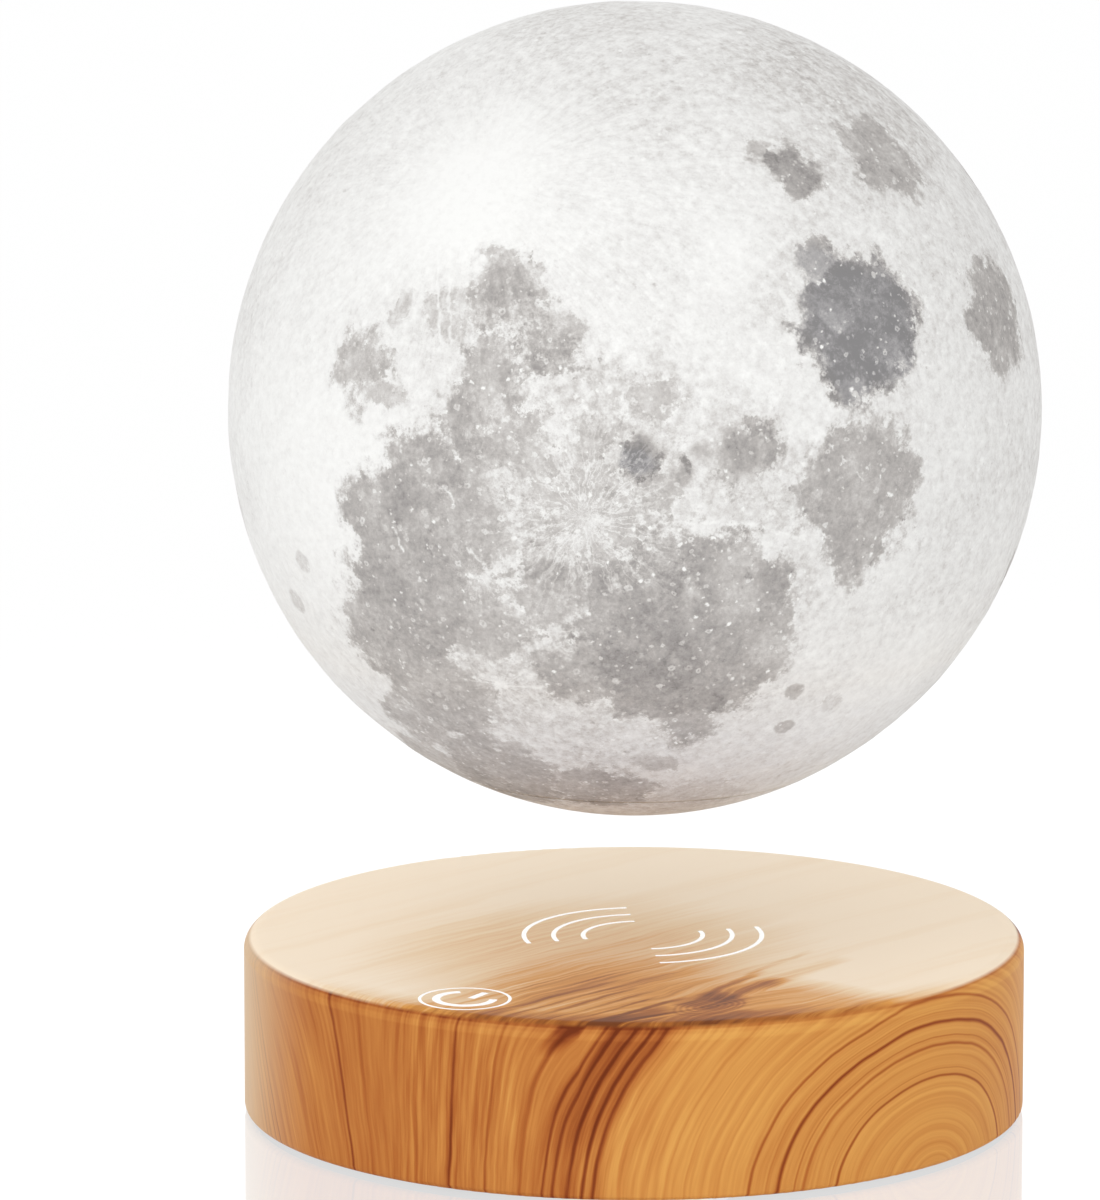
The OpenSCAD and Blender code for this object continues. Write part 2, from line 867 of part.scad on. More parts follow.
// The cap in half section: a flush skin, a flat floor, the magnet's pocket and a collar
module cap_outline() {
    intersection() {
        circle(r = moon_r);
        difference() {
            union() {
                section(0, flange_r, -moon_r, flange_top);
                section(0, collar_r, -moon_r, collar_top);
            }
            section(coil_in_r - slip_gap, collar_bore_r, cap_floor, collar_top + over);
            section(-over, coil_in_r - slip_gap + over, pocket_top, collar_top + over);
            section(-over, pocket_r, pocket_floor, collar_top + over);
        }
    }
}

module globe_cap() {
    color("white")
        translate([0, 0, moon_z])
            difference() {
                union() {
                    rotate_extrude()
                        cap_outline();
                    for (i = [0 : lug_count - 1])
                        rotate(i * 360 / lug_count - lug_angle / 2)
                            rotate_extrude(angle = lug_angle)
                                section(collar_r - 0.5, lug_r, lug_z, collar_top);
                    around(lug_count, post_r, post_angle)
                        translate([0, 0, cap_floor - 0.5])
                            cylinder(d = post_d, h = pocket_top - cap_floor + 0.5);
                }
                around(lug_count, post_r, post_angle)
                    translate([0, 0, cap_floor])
                        cylinder(d = small_screw_d + 2 * hole_gap,
                                 h = pocket_top - cap_floor + over);
            }
}

// ---- Moon: receiver and lamps --------------------------------------------------------

module receiver_coil() {
    color("chocolate")
        translate([0, 0, moon_z + cap_floor])
            ring(coil_out_r, coil_in_r, receive_t);
}

module ferrite_ring() {
    color("#3a3a3a")
        translate([0, 0, moon_z + coil_top])
            ring(coil_out_r - 1, coil_in_r, ferrite_t);
}

module receiver_board() {
    color("darkgreen")
        translate([0, 0, moon_z + pocket_top])
            difference() {
                cylinder(r = receiver_r, h = moon_board_t);
                around(lug_count, post_r, post_angle)
                    translate([0, 0, -over])
                        cylinder(d = small_screw_d + 2 * hole_gap, h = moon_board_t + 2 * over);
            }
}

module receiver_screws() {
    color("silver")
        around(lug_count, post_r, post_angle)
            translate([0, 0, moon_z + receiver_top])
                small_screw();
}

module receiver_chips() {
    chip = [6, 5, chip_h];
    color("#202020")
        for (side = [-1, 1])
            translate([side * 6 - chip.x / 2, -chip.y / 2, moon_z + receiver_top])
                cube(chip);
}

module receiver_capacitor() {
    color("#2a3550")
        translate([0, -spacer_ring_r, moon_z + receiver_top])
            can(can_d, can_h);
}

module receiver_leads() {
    color("chocolate")
        for (side = [-1, 1])
            rotate(side * 4)
                translate([coil_out_r - 0.5, 0, moon_z + coil_top])
                    cylinder(d = moon_lead_d, h = pocket_top - coil_top);
}

module led_spacers() {
    color("goldenrod")
        around(lug_count, spacer_ring_r, 90)
            translate([0, 0, moon_z + receiver_top])
                cylinder(d = spacer_d, h = spacer_h, $fn = 6);
}

module led_board() {
    color("whitesmoke")
        translate([0, 0, moon_z + led_board_z])
            difference() {
                cylinder(d = led_board_d, h = moon_board_t);
                around(lug_count, spacer_ring_r, 90)
                    translate([0, 0, -over])
                        cylinder(d = small_screw_d + 2 * hole_gap, h = moon_board_t + 2 * over);
            }
}

module led_screws() {
    color("silver")
        around(lug_count, spacer_ring_r, 90)
            translate([0, 0, moon_z + led_board_top])
                small_screw(moon_board_t);
}

module leds() {
    lamp = [3.5, 2.8, 0.8];
    color("khaki")
        around(led_count, spacer_ring_r * 0.55, 22.5)
            translate([-lamp.x / 2, -lamp.y / 2, moon_z + led_board_top])
                cube(lamp);
}

module led_leads() {
    color("red")
        for (side = [-1, 1])
            translate([side * lead_pitch / 2, 5, moon_z + receiver_top])
                cylinder(d = lead_d, h = spacer_h);
}

wood_casing();
bottom_cover();
cover_screws();
rubber_feet();
control_board();
board_screws();
board_chips();
board_sockets();
power_capacitors();
power_inductors();
dc_jack();
jack_pin();
coil_bobbins();
coil_windings();
coil_cores();
coil_screws();
magnet_tray();
ring_magnets();
tray_screws();
hall_board();
hall_pins();
hall_sensors();
transmit_coil();
coil_carrier();
transmit_leads();
touch_board();
touch_chip();
touch_leads();
levitation_magnet();
magnet_backing();
globe_shell();
globe_cap();
receiver_coil();
ferrite_ring();
receiver_board();
receiver_screws();
receiver_chips();
receiver_capacitor();
receiver_leads();
led_board();
led_spacers();
led_screws();
leds();
led_leads();
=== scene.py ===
"""Looks of a levitating moon lamp: a printed moon that floats over a round wood-grain base.

Everything is in metres in the part's own frame. The base stands on z = 0, the touch key is
towards -Y and the power inlet towards +Y.
"""
import json
import logging
import math
from dataclasses import dataclass, field
from enum import Enum

import bpy
import numpy as np
from mathutils import Matrix, Vector, noise


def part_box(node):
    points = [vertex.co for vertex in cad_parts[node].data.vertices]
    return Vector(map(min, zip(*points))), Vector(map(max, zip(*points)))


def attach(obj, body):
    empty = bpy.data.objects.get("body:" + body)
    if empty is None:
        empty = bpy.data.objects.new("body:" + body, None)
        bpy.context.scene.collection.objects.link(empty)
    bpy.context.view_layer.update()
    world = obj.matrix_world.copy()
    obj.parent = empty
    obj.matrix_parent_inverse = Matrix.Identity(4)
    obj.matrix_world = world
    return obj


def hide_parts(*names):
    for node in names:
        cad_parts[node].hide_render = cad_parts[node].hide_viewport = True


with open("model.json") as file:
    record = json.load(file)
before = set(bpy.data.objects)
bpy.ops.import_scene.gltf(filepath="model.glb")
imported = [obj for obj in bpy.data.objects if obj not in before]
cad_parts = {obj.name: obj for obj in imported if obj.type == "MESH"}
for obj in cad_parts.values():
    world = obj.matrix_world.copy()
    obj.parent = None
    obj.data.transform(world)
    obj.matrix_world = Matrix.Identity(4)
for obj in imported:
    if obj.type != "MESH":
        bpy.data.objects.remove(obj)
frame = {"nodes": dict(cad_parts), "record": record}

log = logging.getLogger("moon_lamp")
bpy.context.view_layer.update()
MM = 0.001
Colour = tuple[float, float, float, float]
Point = tuple[float, float, float]
Tree = bpy.types.NodeTree
Node = bpy.types.Node
MOON_MM = 75.0


# ---- Node and mesh tools ------------------------------------------------------------


def linear(code: str) -> Colour:
    """Turn an sRGB hex colour into the linear values that the shaders work in.

    Args:
        code: The colour as six hex digits, with or without a hash.

    Returns:
        Red, green, blue and an alpha of 1, all linear.
    """
    channels = [int(code.lstrip("#")[i:i + 2], 16) / 255 for i in (0, 2, 4)]
    turned = [c / 12.92 if c <= 0.04045 else ((c + 0.055) / 1.055) ** 2.4 for c in channels]
    return (*turned, 1.0)


# The property that a node's mode sets, where it isn't called its operation
MODES = {"MapRange": "interpolation_type", "VectorRotate": "rotation_type", "Mix": "blend_type"}


def add(tree: Tree, kind: str, *inputs: object, stops: list[tuple[float, Colour]] | None = None,
        **settings: object) -> Node:
    """Add one node with its settings and its links.

    Args:
        tree: The node tree that gets the node.
        kind: The node's Blender type without its first word, and its mode after a dot.
        *inputs: A value, a socket or a whole node for each input in order, or one dict of them
            by name. A node stands for the first output that it has in use. A MapRange takes the
            value, the two ends that it runs between, and what it gives at each (0 and 1).
        stops: The positions and colours of a colour ramp.
        **settings: The node's other properties.

    Returns:
        The new node.
    """
    kind, _, mode = kind.partition(".")
    node = tree.nodes.new("ShaderNode" + kind)
    if mode:
        setattr(node, MODES.get(kind, "operation"), mode)
    for name, value in settings.items():
        setattr(node, name, value)
    if stops:
        elements = node.color_ramp.elements
        elements.remove(elements[1])
        for number, (position, colour) in enumerate(stops):
            stop = elements[0] if number == 0 else elements.new(position)
            stop.position = position
            stop.color = colour
    given = inputs[0] if inputs and isinstance(inputs[0], dict) else dict(enumerate(inputs))
    for key, value in given.items():
        if isinstance(key, int):
            socket = node.inputs[key]
        else:
            socket = next(s for s in node.inputs if s.enabled and s.name == key)
        if isinstance(value, Node):
            value = next(s for s in value.outputs if s.enabled)
        if isinstance(value, bpy.types.NodeSocket):
            tree.links.new(value, socket)
        else:
            socket.default_value = value
    return node


def piece(name: str, vertices: np.ndarray, faces: list[tuple[int, ...]],
          smooth: bool = True) -> bpy.types.Object:
    """Make one mesh object.

    Args:
        name: The piece's name.
        vertices: Its points, in metres.
        faces: The point numbers of each face.
        smooth: Whether it is shaded smooth.

    Returns:
        The new object, in the scene.
    """
    mesh = bpy.data.meshes.new(name)
    mesh.from_pydata([tuple(v) for v in vertices], [], faces)
    mesh.validate()
    if smooth:
        mesh.shade_smooth()
    made = bpy.data.objects.new(name, mesh)
    bpy.context.scene.collection.objects.link(made)
    return made


def seen(tree: Tree) -> Node:
    """Give 1 for what the eye sees, straight, in gloss or through glass, and 0 for light."""
    path = add(tree, "LightPath")
    either = add(tree, "Math.MAXIMUM", path.outputs["Is Camera Ray"], path.outputs["Is Glossy Ray"])
    return add(tree, "Math.MAXIMUM", either, path.outputs["Is Transmission Ray"])


def ripple(tree: Tree, place: Node, scale: float, detail: float, rough: float = 0.5) -> Node:
    """Draw a noise that swings about zero.

    Args:
        tree: The material's tree.
        place: Where it is worked out.
        scale: How many of its waves fit in one unit of the place.
        detail: How many finer layers lie over it.
        rough: How strong they are.

    Returns:
        A node that gives its value.
    """
    pattern = add(tree, "TexNoise", {"Vector": place, "Scale": scale, "Detail": detail, "Roughness": rough})
    return add(tree, "Math.SUBTRACT", pattern, 0.5)


def band(tree: Tree, value: Node, middle: float, edge: float, core: float, much: float) -> Node:
    """Draw a soft line where a value is close to a middle one.

    Args:
        tree: The material's tree.
        value: The value, such as a distance.
        middle: The value in the middle of the line.
        edge: How far from it the line starts.
        core: How far from it the line is full.
        much: The line's tone there.

    Returns:
        A node that gives the line's tone.
    """
    off = add(tree, "Math.SUBTRACT", value, middle)
    off = add(tree, "Math.ABSOLUTE", off)
    return add(tree, "MapRange.SMOOTHSTEP", off, edge, core, 0, much)


def closest(tree: Tree, place: Node, start: Vector, end: Vector) -> tuple[Node, Node]:
    """Find the point of a straight line that is closest to each place.

    Args:
        tree: The material's tree.
        place: The place.
        start: The line's first end.
        end: The line's last end.

    Returns:
        Nodes that give how far along the line it is, from 0 to 1, and the point.
    """
    way = end - start
    off = add(tree, "VectorMath.SUBTRACT", place, start)
    part = add(tree, "VectorMath.DOT_PRODUCT", off, way / way.length_squared)
    part = add(tree, "Math.ADD", part, 0.0, use_clamp=True)
    return part, add(tree, "VectorMath.MULTIPLY_ADD", part, way, start)


def spread(tree: Tree, place: Node, centre: Vector, dense: float, stretch: float) -> tuple[Node, Node]:
    """Turn places into ones where a noise makes spokes round a centre.

    Args:
        tree: The material's tree.
        place: The place.
        centre: The spokes' centre.
        dense: How dense the spokes are.
        stretch: How much they change along their length.

    Returns:
        Nodes that give the distance from the centre and the new place.
    """
    away = add(tree, "VectorMath.DISTANCE", place, centre)
    across = add(tree, "VectorMath.SUBTRACT", place, centre)
    across = add(tree, "VectorMath.NORMALIZE", across)
    along = add(tree, "VectorMath.SCALE", {0: place, "Scale": stretch})
    return away, add(tree, "VectorMath.MULTIPLY_ADD", across, (dense, dense, dense), along)


# ---- Finishes -------------------------------------------------------------------------


@dataclass(frozen=True)
class Finish:
    """What every finish has: a name for its material, and a shader."""

    name: str

    def shade(self, tree: Tree) -> Node:
        """Make the shader in an empty tree."""
        raise NotImplementedError

    def build(self) -> bpy.types.Material:
        """Make the material, with its shader linked."""
        made = bpy.data.materials.new(self.name)
        made.use_nodes = True
        made.node_tree.nodes.clear()
        add(made.node_tree, "OutputMaterial", {"Surface": self.shade(made.node_tree)})
        return made


class Grain(Enum):
    """How the surface of a plain finish was made."""

    CLOUDY = "moulded or cast: soft clouds of tone"
    BRUSHED = "drawn or brushed: fine lines along Z"
    WOUND = "wound wire: rounds, one beside the other"
    PITTED = "sintered or spark-eroded: small pits"


@dataclass(frozen=True)
class PlainFinish(Finish):
    """A finish of one stuff with a fine pattern: plastics, metals, rubber and boards.

    Attributes:
        dark: The darker tone, as sRGB hex.
        light: The lighter tone, as sRGB hex.
        grain: How the surface was made.
        grain_mm: The size of the pattern, in millimetres.
        relief_mm: The height of the pattern, in millimetres.
        roughness: The least and the most roughness.
        metallic: 1 for a metal and 0 otherwise.
        ior: The index of refraction; a metal keeps the default.
    """

    dark: str
    light: str
    grain: Grain = Grain.CLOUDY
    grain_mm: float = 0.8
    relief_mm: float = 0.01
    roughness: tuple[float, float] = (0.4, 0.55)
    metallic: float = 0.0
    ior: float = 1.5

    def shade(self, tree: Tree) -> Node:
        """Make the shader: two tones, a roughness that follows them, and a fine relief.

        Args:
            tree: The material's empty tree.

        Returns:
            The shader's node.
        """
        place = add(tree, "TexCoord").outputs["Object"]
        stretch = {
            Grain.CLOUDY: (1, 1, 1),
            Grain.BRUSHED: (1, 1, 0.05),
            Grain.WOUND: (0.04, 0.04, 1),
            Grain.PITTED: (1, 1, 1),
        }[self.grain]
        scaled = [axis / (self.grain_mm * MM) for axis in stretch]
        place = add(tree, "VectorMath.MULTIPLY", place, scaled)
        if self.grain is Grain.PITTED:
            pattern = add(tree, "TexVoronoi", {"Vector": place, "Scale": 1.0})
        else:
            pattern = add(tree, "TexNoise", {"Vector": place, "Scale": 1.0, "Detail": 4.0})
        tone = add(tree, "MapRange", pattern, 0.3, 0.7)
        colour = add(
            tree, "Mix", {"Factor": tone, "A": linear(self.dark), "B": linear(self.light)},
            data_type="RGBA")
        low, high = self.roughness
        rough = add(tree, "MapRange", tone, 0, 1, high, low)
        bump = add(tree, "Bump", {"Height": pattern, "Distance": self.relief_mm * MM, "Strength": 0.8})
        return add(
            tree, "BsdfPrincipled", {"Base Color": colour, "Roughness": rough, "Normal": bump,
            "Metallic": self.metallic, "IOR": self.ior})


@dataclass(frozen=True)
class MoonMap:
    """Where the printed map lies on the moon. The print is a mirror image of the real map.

    Attributes:
        heading: Turn of the map about the vertical axis, in degrees.
        tilt: Angle between the map's north pole and straight up, in degrees.
        spin: Turn of the map about its own poles, in degrees.
    """

    heading: float = 15
    tilt: float = 145
    spin: float = 245

    def direction(self, latitude: float, longitude: float) -> Vector:
        """Give the direction of a place on the map from the moon's middle.

        Args:
            latitude: The place's latitude, in degrees.
            longitude: The place's longitude, in degrees.

        Returns:
            A unit vector in the part's frame.
        """
        lat, turn = math.radians(latitude), math.radians(self.spin - longitude)
        tilt, heading = math.radians(self.tilt), math.radians(self.heading)
        level = math.cos(lat) * math.cos(turn)
        x = level * math.cos(tilt) + math.sin(lat) * math.sin(tilt)
        y = math.cos(lat) * math.sin(turn)
        z = math.sin(lat) * math.cos(tilt) - level * math.sin(tilt)
        return Vector((x * math.cos(heading) - y * math.sin(heading),
                       x * math.sin(heading) + y * math.cos(heading), z))


MAP = MoonMap()


@dataclass(frozen=True)
class Patch:
    """A round patch of the map: a sea, a shade of the highlands or a bright apron.

    Attributes:
        latitude: The latitude of its middle, in degrees.
        longitude: The longitude of its middle, in degrees.
        radius: Its radius, in degrees.
        tone: How dark it is, from 0 for white to 1 for the darkest ink, or how much it lightens.
    """

    latitude: float
    longitude: float
    radius: float
    tone: float

    def middle(self) -> Vector:
        """Give the direction of its middle."""
        return MAP.direction(self.latitude, self.longitude)

    def reach(self, extra: float = 0.0) -> float:
        """Give the straight distance from its middle to its edge, on a ball of radius 1."""
        return 2 * math.sin(math.radians(self.radius + extra) / 2)


@dataclass(frozen=True)
class Stroke:
    """A thin bright line of the map, from one place to another.

    Attributes:
        start: Its first latitude and longitude, in degrees.
        end: Its last latitude and longitude, in degrees.
        width_mm: Its width on the moon, in millimetres.
        light: How much it lightens the print, from 0 to 1.
    """

    start: tuple[float, float]
    end: tuple[float, float]
    width_mm: float
    light: float


SEAS = [Patch(*row) for row in (
    # The great northern sea, its bays and the straits round it
    (32, -18, 15.9, .65), (28, -37, 5.6, .58), (36, -4, 3.5, .5), (45, -32, 3.4, .54), (49, -45, 2.8, .4),
    (60, -4, 2.1, .25), (61, -60, 7, .3), (47, -63, 7, .52), (36, -78, 9, .52), (27, -85, 7, .4),
    # The round sea on the right, and the bluish ones above it
    (28, 18, 9.5, .55), (35, 13, 5, .55), (8, 29, 9.4, .86), (-2, 29, 3.4, .6), (13, 24, 4.5, .72),
    (-15, 36, 4.3, .74), (-20, 33, 2, .45), (-10, 53, 7, .55), (17, 59, 8, .6),
    # The small dark bays in the middle
    (14, 5, 3.9, .57), (16, 2, 2.4, .55), (12, 8, 2, .68), (12, -10, 3.2, .5), (1, -2, 3.4, .48),
    (6.6, -8.2, 3, .9), (12, -3, 1.5, .75), (1, -12, 2.4, .5), (9, -15, 1.4, .6),
    # The southern seas
    (-22, -11, 5.6, .6), (-13, -11, 4.8, .66), (-27, -10, 2.5, .62), (-13, -20, 5.6, .56),
    (-10, -27, 5, .62), (-26, -38.5, 5.2, .52), (-20, -36, 2.3, .4), (-30, -28, 2, .4),
    # The wide western ocean
    (-8, -36, 6.3, .6), (-5, -45, 7.6, .6), (5, -49, 10.4, .6), (9, -59, 8.5, .55), (19, -59, 8.5, .52),
    (33, -68, 8.5, .5), (14, -42, 6.3, .5), (-3, -22, 6, .5), (16, -32, 4.2, .52), (21, -72, 6, .45),
    (2, -35, 6.5, .52), (-3, -28, 5, .5), (13, -27, 4.5, .58), (10, -20, 7, .46), (-24.4, -21, 3.2, .42),
    (-13.7, -6.7, 2.6, .45),
    # The few seas of the far side
    (-2, 87, 6, .5), (57, 81, 4.5, .5), (-40, 93, 9, .45), (-19, -93, 4, .3), (27, 148, 5, .6),
    (-34, 164, 4.5, .6),
)]
BLUE_SEAS = [Patch(8, 29, 10.5, 1), Patch(-2, 29, 4.5, .8), Patch(7, -8, 2.5, 1), Patch(13, 24, 5, 1)]
# Dark floors of walled plains
FLOORS = [Patch(52, -10, 1.6, .52), Patch(58, -18, 1.6, .5), Patch(-7, -67, 1.7, .3), Patch(-3, -76, 2, .32)]
# Dark spots that lie over the broken country
SPOTS = [Patch(*row) for row in (
    (6.6, -8.2, 3, .98), (12, -4.6, 1.9, .72), (13.7, 4.2, 4, .74), (10.6, -.6, 1.8, .5),
    (1.2, -2.4, 2.6, .44), (15, -27, 3, .5),
)]
# Highlands that are greyer than the rest, highlands that are whiter, with a painted lift towards the cap
# where the moon is in shade, and the bright aprons of ray craters, which lighten the seas too
SHADES = [Patch(*row) for row in (
    (-38, 45, 22, .08), (-14, 49, 18, .1), (-57, 51, 16, .1), (-22, 62, 18, .2), (4, -10, 13, .22),
    (14, 2, 9, .16), (11, -20, 12, .36), (-8, -20, 11, .14), (-26, -24, 8, .12), (20, -48, 14, .2),
    (40, -45, 14, .12), (20, 6, 8, .14), (25, -80, 16, .06), (50, -70, 18, .1), (-3, 24, 7, .1),
    (35, 0, 8, .12), (60, 40, 36, .05), (0, 120, 80, .08), (-50, -175, 26, .14), (5, 160, 16, .1),
    (30, -120, 20, .1), (-15, -135, 15, .08),
)]
GLOWS = [Patch(*row) for row in (
    (-41, -8, 13, .9), (-38, -30, 20, .4), (-16, -55, 20, .75), (-5, -92, 26, .4), (-9, 20, 5, .6),
    # The patch at latitude 66, longitude 22 is painted light: it lifts the print towards the cap, where the
    # moon's underside is in shade
    (24, -5, 4, .35), (38, 18, 8, .5), (42, -42, 3, .3), (66, 22, 12, .5), (22.4, -163, 7, .8),
    (-25, 128, 4, .6),
)]
APRONS = [Patch(*row) for row in (
    (-38, -9, 8, .8), (9.4, -19, 4.2, .08), (8, -38, 1.6, .3), (23, -48, .8, .9), (42, -7, 6, .3),
    (32, -7, 4, .3), (27, -56, .6, .8), (27, -13, 1.2, .45), (15, 12, 1.6, .5), (27, -4, 3.6, .3),
)]
RIDGES = [
    Stroke((-36.3, 7.4), (-19, 33), .7, .5), Stroke((-37, -16), (-22, -24), .6, .75),
    Stroke((-35, -15), (-21, -22.4), .5, .6), Stroke((19.6, 16.2), (26.9, 19), .35, .5),
    Stroke((15.6, -10.8), (19, -6), .5, .55), Stroke((19, -6), (22.8, -.4), .6, .6),
    Stroke((22.8, -.4), (29.4, 6.1), .5, .55), Stroke((19.8, 11.5), (17.9, 15.4), .7, .7),
    Stroke((17.9, 15.4), (18.6, 21.8), .45, .5), Stroke((-4.7, -33.7), (-2.2, -33.9), .45, .65),
    Stroke((-3.8, -44.6), (-.5, -45.6), .45, .6), Stroke((4.2, -36.1), (7.2, -35.4), .45, .6),
    Stroke((17.4, -9.9), (22.2, -8.2), .3, .35),
]


@dataclass(frozen=True)
class RaySystem:
    """The fine bright spokes that a young crater throws out.

    Attributes:
        latitude: The crater's latitude, in degrees.
        longitude: The crater's longitude, in degrees.
        reach: How far the spokes go, in degrees.
        spokes: How dense they are: the scale of their pattern round the crater.
        light: How much they lighten the print, from 0 to 1.
        curl: How much they wave.
        threads: Whether they are thin curved threads instead of broad soft rays.
    """

    latitude: float
    longitude: float
    reach: float
    spokes: float
    light: float
    curl: float
    threads: bool = False


RAYS = [
    RaySystem(-40, -6, 100, 9, .42, .0), RaySystem(9.4, -19, 22, 5.5, .6, .06, True),
    RaySystem(9.4, -19, 24, 8, .22, .06), RaySystem(8, -38, 9, 4, .3, .06, True),
    RaySystem(23, -48, 9, 5, .6, .02), RaySystem(22.4, -163, 30, 8, .45, .03),
    RaySystem(-25, 128, 18, 6, .35, .03),
]
# The broken country in the middle, where the seas are full of islands and bright patches
BROKEN = [Patch(*row) for row in (
    (2, -12, 20, 1), (14, 2, 14, .9), (-18, -13, 15, .75), (14, -30, 9, .6), (-24, -33, 10, .3),
    (12, 16, 8, .6), (-6, -30, 9, .4),
)]


@dataclass(frozen=True)
class MoonPrint(Finish):
    """3-D printed PLA with the moon's map printed on it in dull ink.

    The eye gets a very pale, matt grey with soft darker seas, ragged coasts, bright rays and
    a dust of fine specks and rings.

    Attributes:
        middle: The height of the moon's middle, in metres.
        radius_mm: The moon's radius, in millimetres.
    """

    middle: float
    radius_mm: float = MOON_MM

    def shade(self, tree: Tree) -> Node:
        """Make the shader: one tone is worked out all over the map and then given its colour.

        Args:
            tree: The material's empty tree.

        Returns:
            The shader's node.
        """
        place = add(tree, "TexCoord").outputs["Object"]
        place = add(tree, "VectorMath.SUBTRACT", place, (0, 0, self.middle))
        out = add(tree, "VectorMath.NORMALIZE", place)
        rough = ripple(tree, out, self.radius_mm / 15, 5.0, 0.62)
        broken = self.patches(tree, out, BROKEN, 0.5)
        tone = self.land(tree, out, rough)
        tone = self.lighten(tree, tone, self.patches(tree, self.warp(tree, out, 19.0, 0.25), GLOWS, 0.8))
        tone = self.seas(tree, out, tone, broken)
        tone = self.lighten(tree, tone, self.patches(tree, self.warp(tree, out, 6.0, 0.08), APRONS, 0.9))
        tone = self.lighten(tree, tone, self.mottles(tree, out, broken))
        for patches, bend, soft in ((SPOTS, 0.07, 0.7), (FLOORS, 0.02, 0.25)):
            dark = self.patches(tree, self.warp(tree, out, 3.0, bend), patches, soft)
            tone = add(tree, "Math.MAXIMUM", tone, dark)
        tone = self.lighten(tree, tone, self.rays(tree, out))
        tone = self.lighten(tree, tone, self.strokes(tree, self.warp(tree, out, 2.5, 0.035), RIDGES))
        tone = self.pepper(tree, out, tone, rough)
        colour = add(
            tree, "ValToRGB", tone, stops=[(0.0, linear("#F9F9F7")), (0.2, linear("#E7E6E4")),
            (0.4, linear("#D1CECB")), (0.6, linear("#BAB6B3")), (0.8, linear("#A39F9D")),
            (1.0, linear("#8C8987"))])
        blue = self.patches(tree, self.warp(tree, out, 12.0, 0.2), BLUE_SEAS, 0.3)
        dark = add(tree, "MapRange", tone, 0.35, 0.65)
        blue = add(tree, "Math.MULTIPLY", blue, dark)
        colour = add(
            tree, "Mix.MULTIPLY", {"Factor": blue, "A": colour, "B": (0.975, 1.0, 1.04, 1)},
            data_type="RGBA")
        # Painted cool tint: the ink is made a little cooler towards the cap, to offset the warm light that
        # the base's top throws on it
        height = add(tree, "SeparateXYZ", out)
        painted_cool_tint = add(tree, "MapRange", height.outputs["Z"], -0.55, -1.0)
        colour = add(
            tree, "Mix.MULTIPLY", {"Factor": painted_cool_tint, "A": colour, "B": (0.91, 0.995, 1.12, 1)},
            data_type="RGBA")
        fine = ripple(tree, out, self.radius_mm / 0.8, 4.0, 0.7)
        bump = add(tree, "Bump", {"Height": fine, "Distance": 0.1 * MM, "Strength": 0.4})
        return add(
            tree, "BsdfPrincipled", {"Base Color": colour, "Roughness": 0.85, "IOR": 1.46,
            "Specular IOR Level": 0.25, "Normal": bump})

    def warp(self, tree: Tree, out: Node, size_mm: float, amount: float) -> Node:
        """Bend the directions, so that what is drawn with them gets ragged edges.

        Args:
            tree: The material's tree.
            out: The direction from the moon's middle.
            size_mm: The size of the bends on the moon, in millimetres.
            amount: How far they go, as a share of the moon's radius.

        Returns:
            A node that gives the bent direction.
        """
        pattern = add(
            tree, "TexNoise", {"Vector": out, "Scale": self.radius_mm / size_mm, "Detail": 7.0,
            "Roughness": 0.62})
        bend = add(tree, "VectorMath.SUBTRACT", pattern.outputs["Color"], (0.5, 0.5, 0.5))
        return add(tree, "VectorMath.MULTIPLY_ADD", bend, (amount, amount, amount), out)

    def lighten(self, tree: Tree, tone: Node, light: Node) -> Node:
        """Take a share of the tone away."""
        keep = add(tree, "Math.SUBTRACT", 1.0, light, use_clamp=True)
        return add(tree, "Math.MULTIPLY", tone, keep)

    def patches(self, tree: Tree, place: Node, patches: list[Patch], soft: float) -> Node:
        """Draw round patches that fade at their edges, the strongest on top.

        Args:
            tree: The material's tree.
            place: The direction from the moon's middle, bent or not.
            patches: The patches.
            soft: The share of the radius over which each one fades, inwards and outwards.

        Returns:
            A node that gives their tone.
        """
        total = 0.0
        for patch in patches:
            away = add(tree, "VectorMath.DISTANCE", place, patch.middle())
            fade = add(
                tree, "MapRange.SMOOTHSTEP", away, patch.reach() * (1 + soft), patch.reach() * (1 - soft),
                0, patch.tone)
            total = add(tree, "Math.MAXIMUM", total, fade)
        return total

    def land(self, tree: Tree, out: Node, rough: Node) -> Node:
        """Draw the highlands: pale, greyer in places, with lumps of 1 to 2 mm.

        Args:
            tree: The material's tree.
            out: The direction from the moon's middle.
            rough: A wide pattern that makes them uneven.

        Returns:
            A node that gives their tone.
        """
        shade = self.patches(tree, out, SHADES, 0.6)
        lumps = ripple(tree, out, self.radius_mm / 2.0, 5.0, 0.68)
        # The lumps are strong where the ground is grey and fade where it is bright
        share = add(tree, "Math.MULTIPLY_ADD", shade, 3.8, 0.36)
        lumps = add(tree, "Math.MULTIPLY", lumps, share)
        tone = add(tree, "MapRange", rough, -0.2, 0.2, 0.1, 0.2)
        tone = add(tree, "Math.ADD", tone, shade)
        # Fine streaks, about 1.5 mm apart, run out from the great southern ray crater
        away, fan = spread(tree, out, MAP.direction(RAYS[0].latitude, RAYS[0].longitude), 34, 16)
        streaks = ripple(tree, fan, 1.0, 5.0, 0.65)
        fade = add(tree, "MapRange.SMOOTHSTEP", away, 1.5, 0.35, 0, 0.42)
        streaks = add(tree, "Math.MULTIPLY", streaks, fade)
        tone = add(tree, "Math.ADD", tone, streaks, use_clamp=True)
        return add(tree, "Math.ADD", tone, lumps, use_clamp=True)

